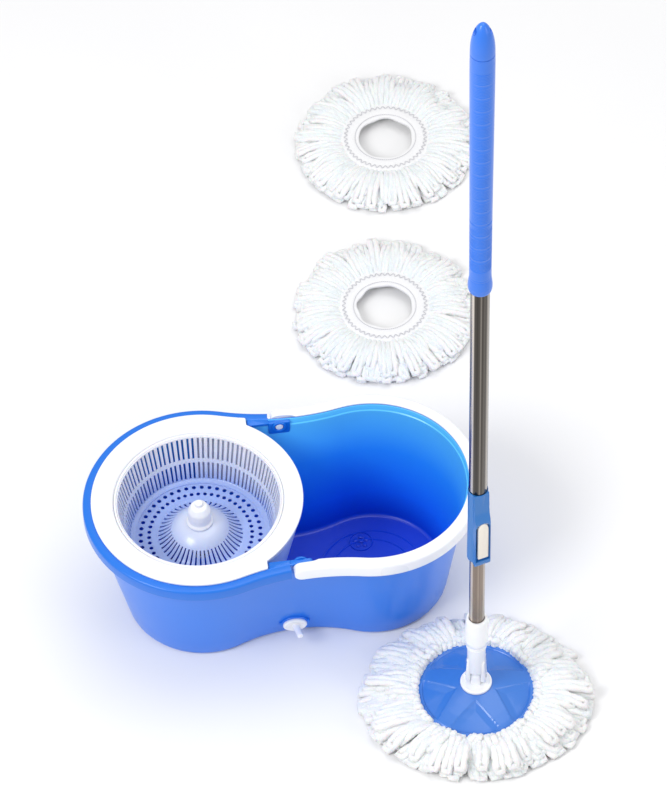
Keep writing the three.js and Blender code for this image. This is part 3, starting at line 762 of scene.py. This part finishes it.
def build_collar():
    h = HEIGHT
    # every degree round, and four times as fine at the tabs' corners
    spans = ((-180, 179, 360), (54, 62, 33), (-62, -54, 33))
    turns = np.unique([round(t, 3) for span in spans for t in np.linspace(*span)])
    radii = [collar_radius(math.radians(t)) for t in turns]
    soft = radii[:]
    for _ in range(3):
        soft = [(soft[i - 1] + 2 * soft[i] + soft[(i + 1) % len(soft)]) / 4 for i in range(len(soft))]
    rings = []
    for t, r in zip(turns, soft):
        t = math.radians(t)
        section = fillet(
            [(COLLAR_OPEN, h - 8), (COLLAR_OPEN, h + 3.3), (r, h + 3.5),
             (r, h + 0.3), (COLLAR_OPEN + 2.2, h + 0.3), (COLLAR_OPEN + 2.2, h - 8)],
            [0.8, 4.5, 1.5, 0.5, 0.4, 0.8],
            4,
            True,
        )
        rings.append([(*polar((SPIN_X, 0), q, t), z) for q, z in section])
    plate = swept("collar_plate", rings, "white_plastic", closed=True)
    low = box_mm("splash_collar")[0][2]
    knee = low + 26
    section = [(106, low), (108, low), (113.2, knee), (128, h + 0.6), (126, h + 0.6), (111.2, knee)]
    limit = math.radians(86)
    turns = np.linspace(-limit, limit, 97)
    skirt = [[(*polar((SPIN_X, 0), q, t), z) for q, z in section] for t in turns]
    made = joined("splash_guard", plate, swept("collar_skirt", skirt, "white_plastic"))
    place(made, "splash_collar", "collar")


BASKET_FLOOR = HEIGHT - 69.5
DOME_TOP = BASKET_FLOOR + 26.5
PAIRS = 48  # slot pairs round the basket's wall, holes round its floor and slits round its dome


def basket_sheet():
    """The basket's inner surface as one sheet, with its slots, holes and slits left open."""
    verts, faces = [], []
    z_floor, z_top, r_foot, r_top = BASKET_FLOOR, HEIGHT - 1, 86.9, 101.6
    step = TAU / PAIRS

    def quad(*points):
        faces.append(tuple(range(len(verts), len(verts) + len(points))))
        verts.extend(points)

    def at(r, turn, z):
        return (*polar((SPIN_X, 0), r, turn), z)

    def strip(section, a, b):
        """The surface of a section of (radius, z) between two turns."""
        for (r0, z0), (r1, z1) in zip(section, section[1:]):
            quad(at(r0, a, z0), at(r0, b, z0), at(r1, b, z1), at(r1, a, z1))

    def wall_r(z):
        return r_foot + (r_top - r_foot) * (z - z_floor) / (z_top - z_floor)

    def column(i):
        """The turn of a line of the dome and floor, four to each slit; the first gap is the slit."""
        return step * (i // 4 + (0, 0.36, 0.5, 0.86)[i % 4])

    def hole(k, r_in, middle, r_out, shift, radius):
        """A floor field of four columns round a hole."""
        lines = [column(4 * k + shift + j) for j in range(5)]
        around = [(r_in, t) for t in lines] + [(middle, lines[4])]
        around += [(r_out, t) for t in lines[::-1]] + [(middle, lines[0])]
        cx, cy = polar((SPIN_X, 0), middle, lines[2])
        outer = [polar((SPIN_X, 0), r, t) for r, t in around]
        inner = []
        for px, py in outer:
            d = math.hypot(px - cx, py - cy)
            inner.append((cx + (px - cx) / d * radius, cy + (py - cy) / d * radius))
        for j in range(len(around)):
            n = (j + 1) % len(around)
            quad(*[(x, y, z_floor) for x, y in (outer[j], outer[n], inner[n], inner[j])])

    # the wall: two slots and two bars to each pair, in two bands of slots
    marks = [math.radians(d) for d in (-2.55, -0.95, 0.95, 2.55)]
    low, mid_low, mid_high, high = (HEIGHT - d for d in (66.5, 41, 35.5, 3))
    plain = [(z_floor + 2, low), (mid_low, mid_high), (high, z_top)]
    slotted = [(low, mid_low), (mid_high, high)]
    ledge = wall_r(z_floor) - 2.4
    for k in range(PAIRS):
        turns = [k * step + m for m in marks] + [(k + 1) * step + marks[0]]
        for i, (a, b) in enumerate(zip(turns, turns[1:])):
            for z0, z1 in plain + (slotted if i % 2 else []):
                strip([(wall_r(z0), z0), (wall_r(z1), z1)], a, b)
            strip([(80, z_floor), (ledge, z_floor), (wall_r(z_floor + 2), z_floor + 2)], a, b)
    # the dome and the floor round it
    top = DOME_TOP
    dome = [(4.4, top), (15, top), (18, top - 0.6), (23, top - 2.4), (28, top - 5.2),
            (33, top - 9.6), (36, top - 12.8)]
    foot = [(36, top - 12.8), (39, top - 16.1), (42, top - 19.2), (46, top - 22.8),
            (50, top - 25.6), (52.5, z_floor)]
    for i in range(4 * PAIRS):
        a, b = column(i), column(i + 1)
        strip(dome, a, b)
        if i % 4 != 0:
            strip(foot, a, b)
        strip([(52.5, z_floor), (56, z_floor), (59, z_floor)], a, b)
    for k in range(PAIRS):
        hole(k, 59, 64, 69, 0, 2.6)
        hole(k, 69, 74.5, 80, 2, 2.8)
    return new_piece("basket_sheet", verts, faces, ["basket_white"], sharp=60)


def solidified(obj, thickness_mm, offset):
    """Gives a sheet its thickness, applied to the mesh."""
    applied(obj, "SOLIDIFY", thickness=thickness_mm * MM, offset=offset)
    return smooth(obj, 40)


def build_basket():
    sheet = clean(basket_sheet())
    up = sum(p.normal.z * p.area for p in sheet.data.polygons if abs(p.normal.z) > 0.9)
    sheet = solidified(sheet, 1.3, -1 if up > 0 else 1)
    h = HEIGHT
    bead = [(101.2, h - 3), (102.2, h + 0.6), (104.7, h + 0.6), (104.7, h - 5), (102.4, h - 5)]
    lip = turned("basket_lip", fillet(bead, 0.6, 4, True), "basket_white", (SPIN_X, 0), 144)
    foot, top = 107, DOME_TOP - 2.6
    section = [(4.4, foot), (9, foot), (9, top - 5.4), (14, top), (4.4, top)]
    boss = turned("basket_boss", section, "basket_white", (SPIN_X, 0), 48)
    place(joined("wringer_basket", sheet, lip, boss), "spin_basket", "basket")
    z0, z1 = span_z("hub_knob")
    profile = fillet(
        [(0, z0 + 15.7), (4.4, z0 + 15.7), (4.4, z0), (16.4, z0), (16.4, z0 + 3), (14, z0 + 6),
         (14.8, z0 + 15), (14, z0 + 23), (9.5, z0 + 31.5), (5.3, z0 + 32.5), (5, z1 - 0.6), (0, z1)],
        [0, 0, 0.4, 1.2, 1.4, 2.5, 6, 7, 5, 1.2, 2.6, 0],
        6,
    )
    hub = turned("hub", profile, "white_plastic", (SPIN_X, 0), 72, False)
    place(hub, "hub_knob", "basket")


# ---------------------------------------------------------------- mop pole
def build_tubes():
    for name, node, body, mat in (("pole_tube", "upper_tube", "pole", "stainless_tube"),
                                  ("slide_tube", "lower_tube", "lower_stage", "stainless_inner")):
        low, high = box_mm(node)
        r = (high[0] - low[0]) / 2
        z0, z1 = low[2], high[2]
        profile = fillet([(r - 0.7, z0), (r, z0), (r, z1), (r - 0.7, z1)], 0.25, 2, True)
        place(turned(name, profile, mat, MOP, 96), node, body)


def grip_radius(z, z0, z1):
    """The grip's plain radius: a bulged foot, a waist above it and a slow swelling to the top."""
    stops = [(0, 12.9), (3, 13.7), (9, 13.95), (15, 13.4), (21, 12.65), (40, 12.45),
             (120, 12.7), (250, 13.3), (340, 13.75), (370, 13.8), (z1 - z0, 13.6)]
    return float(np.interp(z - z0, *zip(*stops)))


def build_grip():
    z0, z1 = span_z("grip")
    zs = np.unique(np.round(np.concatenate([np.arange(z0, z1, 0.55), [z1]]), 3))
    groove_pitch, lines, line_gap = 20.5, 6, 2.3
    radii = []
    for z in zs:
        r = grip_radius(z, z0, z1)
        up = z - z0 - 40
        if 0 < up < z1 - z0 - 60:
            k = up % groove_pitch
            # a group of fine ribs with a shallow finger hollow above it
            if k < lines * line_gap:
                r -= 0.5 * (0.5 - 0.5 * math.cos(TAU * k / line_gap)) + 0.2
            else:
                hollow = (k - lines * line_gap) / (groove_pitch - lines * line_gap)
                r -= 0.75 * math.sin(math.pi * hollow)
        for ring_z in (22, 25.5):
            r -= 0.35 * math.exp(-(((z - z0 - ring_z) / 0.6) ** 2))
        radii.append(r)
    outer = [(11.4, z0), *zip(radii, zs), (6.2, z1)]
    inner = [(6.2, z1 - 10.4), (0, z1 - 10.4)]
    base = [(0, z1 - 20), (11.4, z1 - 20)]
    n = 96
    verts, faces = turned_data(base + outer + inner, MOP, n, False)
    made = clean(new_piece("hand_grip", verts, faces, ["grip_blue"], sharp=60))
    # the ribs fade out on the grip's two plain flanks
    for v in made.data.vertices:
        x, y, z = v.co.x / MM - MOP[0], v.co.y / MM - MOP[1], v.co.z / MM
        r = math.hypot(x, y)
        if r > 12 and z0 + 30 < z < z1 - 12:
            plain = grip_radius(z, z0, z1)
            flank = abs(math.sin(math.atan2(y, x) - HEAD_FRONT))
            keep = max(0.0, min(1.0, (flank - 0.6) / 0.35))
            want = plain + (r - plain) * keep
            v.co.x, v.co.y = (MOP[0] + x / r * want) * MM, (MOP[1] + y / r * want) * MM
    place(made, "grip", "pole")


def build_cap():
    z0, z1 = span_z("grip")[1] + 0.3, span_z("grip_cap")[1]
    tall = z1 - z0
    outline = [(0, z0 - 10), (6, z0 - 10), (6, z0), (12.9, z0), (13.6, z0 + 0.7)]
    for k in range(1, 33):
        t = k / 32
        r = 13.6 * (1 - t**2.4) ** 0.62
        outline.append((max(r, 0), z0 + 0.7 + (tall - 0.7) * t))
    made = turned("end_cap", outline, "grip_blue", MOP, 96, False, 30)
    tool_profile = [(0, -30), (4.5, -30), (4.5, 30), (0, 30)]
    verts, faces = turned_data(tool_profile, n=40, closed=False)
    hole_z = z0 + 33.7
    verts = [(MOP[0] + depth, MOP[1] + a, hole_z + b) for a, b, depth in verts]
    tool = clean(new_piece("hole_tool", verts, faces, ["grip_blue"]))
    applied(made, "BOOLEAN", object=tool, operation="DIFFERENCE", solver="EXACT")
    bpy.data.objects.remove(tool)
    place(smooth(made, 30), "grip_cap", "pole")


LEVER_ARCH = 10.5  # how tall the lever's rounded top is


def build_sleeve():
    z0, z1 = span_z("lock_sleeve")
    lever_low, lever_high = span_z("lock_lever")
    n = 240
    pocket = (lever_low - 5, lever_high + 0.5)
    edges = {z + d for z in pocket for d in (-0.3, 0.3)} | {z0 + 0.6, z1 - 0.6}
    arch_rows = np.linspace(pocket[1] - LEVER_ARCH, pocket[1] - 0.4, 22)
    zs = sorted(set(np.round(np.linspace(z0, z1, 60), 2)) | edges | set(np.round(arch_rows, 2)))

    def pocket_half(z):
        up = max(0.0, z - (pocket[1] - LEVER_ARCH)) / LEVER_ARCH
        return 6.9 * math.sqrt(max(0.0, 1 - up * up))

    def radius(turn, z):
        """The sleeve's outer radius; turn is measured from the lever's side."""
        base = 12.0 + 0.7 * math.exp(-(((z - z0 - 16) / 26) ** 2))
        if z - z0 < 0.5 or z1 - z < 0.5:
            base -= 0.4
        stops = [z0, z0 + 4, pocket[1] + 2, z1 - 34, z1]
        proud = float(np.interp(z, stops, [14.6, 16.6, 16.5, 12.6, 11.0]))
        side, front = math.sin(turn), math.cos(turn)
        if front <= 0.15:
            return base
        if pocket[0] < z < pocket[1] and abs(math.tan(turn)) * 12.15 < pocket_half(z):
            return 12.15 / front
        return max(base, min(proud / front, 9.6 / max(abs(side), 1e-6)))

    rings = []
    for z in zs:
        ring = []
        for i in range(n):
            t = TAU * i / n
            r = radius((t + math.pi) % TAU - math.pi, z)
            # the lever's side is local -Y
            ring.append((r * math.sin(t), -r * math.cos(t), z))
        rings.append(about_z(ring, LEVER_TURN, MOP))
    bore = []
    first = LEVER_TURN - math.pi / 2
    for r, z in ((TUBE_BORE, z1), (TUBE_BORE, z0 + 3), (SLIDE_BORE, z0 + 3), (SLIDE_BORE, z0)):
        bore.append([(*polar(MOP, r, TAU * i / n + first), z) for i in range(n)])
    made = swept("clamp_sleeve", rings + bore, "sleeve_blue", closed=True, sharp=38)
    place(made, "lock_sleeve", "pole")


def build_lever():
    low, high = span_z("lock_lever")
    half, thick, out = 6.5, 4.6, 14.9
    foot = fillet([(-half, low + 20), (-half, low), (half, low), (half, low + 20)], [0, 1.2, 1.2, 0], 4)
    turns = np.linspace(0, math.pi, 21)
    crown = [(half * math.cos(t), high - LEVER_ARCH * (1 - math.sin(t))) for t in turns]
    outline = foot + crown

    def stand(v):
        x, z, depth = v
        t = (z - low) / (high - low)
        depth += 0.9 * math.sin(math.pi * t) * (1 if depth > 0 else 0)
        return about_z([(x, -(out + depth), z)], LEVER_TURN, MOP)[0]

    made = slab("lock_lever_arm", outline, -thick / 2 + 0.1, thick / 2, "ivory_plastic", stand, 1.1)
    place(made, "lock_lever", "lever")


# ---------------------------------------------------------------- mop foot
def build_foot():
    z0, z1 = span_z("ferrule")
    profile = fillet(
        [(9.7, z0), (13.0, z0), (14.2, z0 + 7), (14.3, z0 + 28), (13.4, z0 + 47),
         (12.1, z1), (9.7, z1)],
        [0, 1.0, 4, 10, 12, 0.8, 0.3],
        6,
        True,
    )
    sleeve = turned("foot_sleeve", profile, "white_plastic", MOP, 72)
    place(sleeve, "ferrule", "lower_stage")

    shoulder = z0 - 0.6
    barrel = fillet(
        [(0, YOKE_FOOT), (11.3, YOKE_FOOT), (11.3, shoulder - 8), (12.4, shoulder - 7),
         (12.4, shoulder - 4.6), (11.5, shoulder - 3.8), (12.6, shoulder - 3), (12.6, shoulder - 0.6),
         (11.3, shoulder), (8.4, shoulder + 0.1), (8.4, shoulder + 34), (0, shoulder + 34)],
        [0, 1.2, 0.5, 0.8, 0.6, 0.3, 0.6, 0.8, 0.4, 0.3, 0.6, 0],
        4,
    )
    parts = [turned("barrel", barrel, "white_plastic", MOP, 72, False)]
    for x0, x1 in ((-12.4, -6.3), (6.3, 12.4)):
        round_end = arc(0, TILT_Z, 8.5, 0, -math.pi, 16)
        side = [(7.2, EAR_TOP), (8.5, EAR_TOP - 2), *round_end, (-8.5, EAR_TOP - 2), (-7.2, EAR_TOP)]

        def stand(v, x0=x0, x1=x1):
            y, z, x = v
            pull = min(1.0, 12.9 / max(math.hypot(x, y), 1e-6)) if z > 66 else 1.0
            return about_z([(x * pull, y * pull, z)], HEAD_TURN, MOP)[0]

        parts.append(slab("ear", side, x0, x1, "white_plastic", stand, 1.0))
    place(joined("clevis", *parts), "yoke", "lower_stage")

    disc = [(0, 40.3), (19.5, 40.3), (19.5, 43.4), (17.6, 45), (15.5, 44.3), (0, 44.3)]
    disc = fillet(disc, [0, 0.4, 1.2, 1, 1, 0], 5)
    parts = [turned("base_disc", disc, "white_plastic", MOP, 72, False)]
    side = [(7, 42), *arc(0, TILT_Z, 7, 0, math.pi, 16), (-7, 42)]

    def upright(v):
        return about_z([(v[2], v[0], v[1])], HEAD_TURN, MOP)[0]

    parts.append(slab("tongue", side, -5.6, 5.6, "white_plastic", upright, 0.8))
    place(joined("clevis_base", *parts), "pivot_block", "mop_head")


def build_plate():
    """The domed plate with an embossed five-pointed star."""
    recess_from, slope, depth = 25.0, math.tan(math.radians(43)), 3.0
    first = HEAD_FRONT - math.pi / 2 - 0.06

    crown = [(0, 40), (20, 39.9), (36, 36.2), (50, 32.2), (62, 28.2), (70, 25.2), (72.6, 23.6),
             (74.2, 21.6), (74.5, 20.6)]

    def dome(r):
        return float(np.interp(r, *zip(*crown)))

    def sunk(x, y, r):
        best = 0.0
        for k in range(5):
            t = first + TAU * k / 5
            u, v = x * math.cos(t) + y * math.sin(t), abs(-x * math.sin(t) + y * math.cos(t))
            inside = ((u - recess_from) * slope - v) * math.cos(math.atan(slope))
            best = max(best, min(1.0, max(0.0, inside / 0.8)) * min(1.0, 0.35 + max(0, inside) / 14))
        rim = 1 - min(1.0, max(0.0, (r - 65.5) / 1.6))
        return depth * best * rim

    turns = [TAU * i / 240 for i in range(240)]
    rings = []
    for r in [0, 8, 14, 19.4, 20.2, *np.linspace(21, 71, 60), 72.6, 73.6, 74.3, 74.5]:
        groove = 0.5 * math.exp(-(((r - 68.6) / 0.7) ** 2))
        flat = [polar((0, 0), r, t) for t in turns]
        rings.append([(x, y, dome(r) - sunk(x, y, r) - groove) for x, y in flat])
    under = [(74.5, 15), (72.2, 15), (72.2, 20), (56.6, 25.6), (56.6, 13), (54, 13), (54, 26.6),
             (20, 35.6), (0, 35.6)]
    rings += [[(*polar((0, 0), r, t), z) for t in turns] for r, z in under]
    rings = [[(MOP[0] + x, MOP[1] + y, z) for x, y, z in ring] for ring in rings]
    made = swept("star_plate", rings, "plate_blue", ends=False, sharp=32)
    place(made, "head_plate", "mop_head")


# ---------------------------------------------------------------- fibre heads
def yarn(path, radii, sides, rng, lumps):
    """Rings of a lumpy yarn along a path of points, each ring square to the path."""
    path = np.array(path)
    along = np.gradient(path, axis=0)
    along /= np.linalg.norm(along, axis=1)[:, None] + 1e-9
    rings = []
    ref = np.array([0, 0, 1.0])
    for p, d, r in zip(path, along, radii):
        u = np.cross(d, ref)
        u /= np.linalg.norm(u) + 1e-9
        w = np.cross(u, d)
        turn = rng.uniform(0, TAU / sides)
        size = r * (1 + lumps * rng.uniform(-1, 1, sides))
        angles = TAU * np.arange(sides) / sides + turn * 0.3
        rings.append(p + (np.cos(angles) * size)[:, None] * u + (np.sin(angles) * size)[:, None] * w)
    return rings


def add_tube(verts, faces, rings):
    faces.extend(skin(rings, len(verts)) + end_faces(rings, len(verts)))
    for ring in rings:
        verts.extend(map(tuple, ring))


def spread_point(centre, r, turn, z, reach, inner, depth):
    """A point of the skirt, which lies depth times as deep as it is wide once past its inner edge."""
    x, y = r * math.cos(turn), r * math.sin(turn)
    y *= 1 - (1 - depth) * max(0, (r - inner) / (reach - inner))
    c, s = math.cos(HEAD_FRONT), math.sin(HEAD_FRONT)
    return (centre[0] + x * c - y * s, centre[1] + x * s + y * c, z)


def fibre_head(name, centre, layers, reach, seed, depth=1.0, crown=None):
    """Loops of thick yarn laid out from the middle: each goes out, turns back at its tip and returns.

    layers: (loops, start radius, start height, crest height, tip height, shortest share of reach)."""
    rng = np.random.default_rng(seed)
    verts, faces = [], []
    inner = layers[0][1]
    for loops, r0, z_start, z_crest, z_tip, least in layers:
        for k in range(loops):
            thick = rng.uniform(0.92, 1.1) * reach / 147
            base = TAU * (k + rng.uniform(-0.3, 0.3)) / loops
            far = reach * rng.uniform(least, 1.0) - 4.6
            lean = rng.uniform(-0.08, 0.08)
            sway, phase = rng.uniform(0.5, 1.6), rng.uniform(0, TAU)
            lift = rng.uniform(-1.5, 1.5)
            path, radii = [], []
            ts = list(np.linspace(0, 1, 15))
            legs = [(-1, t) for t in ts] + [(1, t) for t in ts[::-1]]
            for side, t in legs:
                r = r0 + (far - r0) * t
                apart = side * 4.1 * thick * (0.75 + 0.25 * t) / max(r, 30)
                turn = base + apart + lean * t * t + sway * math.sin(phase + 4 * t) / max(r, 30)
                z = (1 - t) ** 2 * z_start + 2 * t * (1 - t) * (z_crest * 1.35 + lift) + t * t * z_tip
                path.append(spread_point(centre, r, turn, max(z, 4.6), reach, inner, depth))
                lump = 1 + 0.1 * math.sin(phase + 22 * t + side)
                radii.append(thick * (3.2 + 1.3 * min(1, t * 2.2)) * lump)
            add_tube(verts, faces, yarn(path, radii, 8, rng, 0.13))
    if crown:
        loops, r_in, r_out, z_low, z_high = crown
        for k in range(loops):
            base = TAU * (k + rng.uniform(-0.3, 0.3)) / loops
            height = z_high * rng.uniform(0.9, 1.06)
            path = []
            for t in np.linspace(0, 1, 9):
                r = r_out + (r_in - r_out) * math.sin(math.pi * t * 0.5) + rng.uniform(-0.4, 0.4)
                z = z_low + (height - z_low) * math.sin(math.pi * min(1, t * 1.15))
                path.append(spread_point(centre, r, base + (t - 0.5) * 7.5 / r, z, reach, inner, depth))
            add_tube(verts, faces, yarn(path, [4.0] * 9, 8, rng, 0.14))
    return new_piece(name, verts, faces, ["microfibre"], sharp=180)


def build_mop_fibres():
    layers = [
        (74, 64, 10, 14, 4.8, 0.94),
        (74, 66, 14, 20, 9, 0.86),
        (70, 68, 17, 26, 14, 0.72),
        (50, 71, 20, 29, 21, 0.55),
    ]
    made = fibre_head("mop_fibres", MOP, layers, 148, 11, 0.83, (66, 72.5, 84, 17, 28.5))
    place(made, "head_fibres", "mop_head")


def stitches(name, centre, z):
    """Zig-zag stitching near the felt band's outer edge and a plain seam inside it."""
    verts, faces = [], []
    rng = np.random.default_rng(5)
    count = 92
    for k in range(count):
        inner, outer = (51, 56.5) if k % 2 else (56.5, 51)
        t0, t1 = TAU * k / count, TAU * (k + 1) / count
        path = []
        for s in (0.1, 0.3, 0.5, 0.7, 0.9):
            at = polar(centre, inner + (outer - inner) * s, t0 + (t1 - t0) * s)
            path.append((*at, z + 0.5 * math.sin(math.pi * s)))
        add_tube(verts, faces, yarn(path, [0.55] * 5, 6, rng, 0.05))
    for k in range(100):
        steps = (0, 0.011, 0.022, 0.033, 0.044)
        path = [(*polar(centre, 41, TAU * k / 100 + d), z + 0.3 * math.sin(math.pi * d / 0.044))
                for d in steps]
        add_tube(verts, faces, yarn(path, [0.45] * 5, 6, rng, 0.05))
    return new_piece(name, verts, faces, ["thread"], sharp=60)


def build_spares():
    layers = [
        (66, 46, 6, 9, 4.6, 0.94),
        (66, 50, 9, 14, 8, 0.9),
        (64, 54, 12, 21, 12, 0.82),
    ]
    for number, centre in enumerate(SPARES, 1):
        body = f"spare_{number}"
        fibres = fibre_head(f"refill_fibres_{number}", centre, layers, 125, 20 + number)
        place(fibres, f"spare_fibres_{number}", body)
        z0, z1 = span_z(f"spare_band_{number}")
        rng = np.random.default_rng(40 + number)
        waves = [(rng.uniform(0.2, 0.7), rng.integers(3, 9), rng.uniform(0, TAU)) for _ in range(4)]

        def ripple(v, centre=centre, waves=waves):
            x, y, z = v[0] - centre[0], v[1] - centre[1], v[2]
            t, r = math.atan2(y, x), math.hypot(x, y)
            move = sum(a * math.sin(n * t + p) for a, n, p in waves)
            k = 1 + (0.9 * move / r if r < 40 else 0.5 * move / r)
            return (centre[0] + x * k, centre[1] + y * k, z + 0.35 * move * (r - 32) / 30)

        section = [(36, z0), (36, z1), (47, z1 + 0.8), (61, z1 - 0.4), (61, z0)]
        section = fillet(section, [1, 1.6, 6, 1.6, 1], 4, True)
        verts, faces = turned_data(section, centre, 160, True, ripple)
        band = clean(new_piece("felt", verts, faces, ["felt_band"], sharp=60))
        made = joined(f"refill_band_{number}", band, stitches("stitching", centre, z1 + 0.9))
        place(made, f"spare_band_{number}", body)


# ---------------------------------------------------------------- small CAD pieces
def dress_cad_nodes():
    """The inner and small pieces keep their CAD shape and get their slot's material."""
    slots = {s["node"]: s["material_slot"] for s in frame["record"]["subparts"]}
    for name, obj in frame["nodes"].items():
        obj.data.materials.clear()
        obj.data.materials.append(MATS[slots[name]])
        smooth(obj, 30)


# ---------------------------------------------------------------- studio
def build_studio():
    n = Nodes("studio_floor")
    tone = n.ramp(n.noise(3, 3), (0.3, (0.88, 0.88, 0.885, 1)), (0.7, (0.9, 0.9, 0.9, 1)))
    n.link(tone, n.shader.inputs["Base Color"])
    n.set(Roughness=0.7)
    mesh = bpy.data.meshes.new("floor")
    s = 30
    mesh.from_pydata([(-s, -s, 0), (s, -s, 0), (s, s, 0), (-s, s, 0)], [], [(0, 1, 2, 3)])
    mesh.materials.append(n.mat)
    floor = bpy.data.objects.new("floor", mesh)
    bpy.context.collection.objects.link(floor)
    floor.location.z = -0.0005
    world = bpy.data.worlds.new("studio")
    bpy.context.scene.world = world
    world.use_nodes = True
    world.node_tree.nodes["Background"].inputs["Color"].default_value = (0.99, 0.99, 1, 1)
    world.node_tree.nodes["Background"].inputs["Strength"].default_value = 0.64
    for name, at, size, power in (
        ("key", (-1.9, -1.2, 2.6), 1.3, 52),
        ("top", (0.6, 0.6, 3.2), 2.4, 30),
        ("fill", (2.4, -1.8, 1.6), 1.4, 14),
    ):
        data = bpy.data.lights.new(name, "AREA")
        data.size = size
        data.energy = power
        light = bpy.data.objects.new(name, data)
        bpy.context.collection.objects.link(light)
        light.location = at
        aim = Vector((0.05, 0.0, 0.1)) - Vector(at)
        light.rotation_euler = aim.to_track_quat("-Z", "Y").to_euler()
    scene = bpy.context.scene
    scene.view_settings.view_transform = "Standard"
    scene.view_settings.exposure = 0.0


build_bucket()
build_handle()
build_plug()
build_collar()
build_basket()
build_tubes()
build_grip()
build_cap()
build_sleeve()
build_lever()
build_foot()
build_plate()
build_mop_fibres()
build_spares()
dress_cad_nodes()
build_studio()
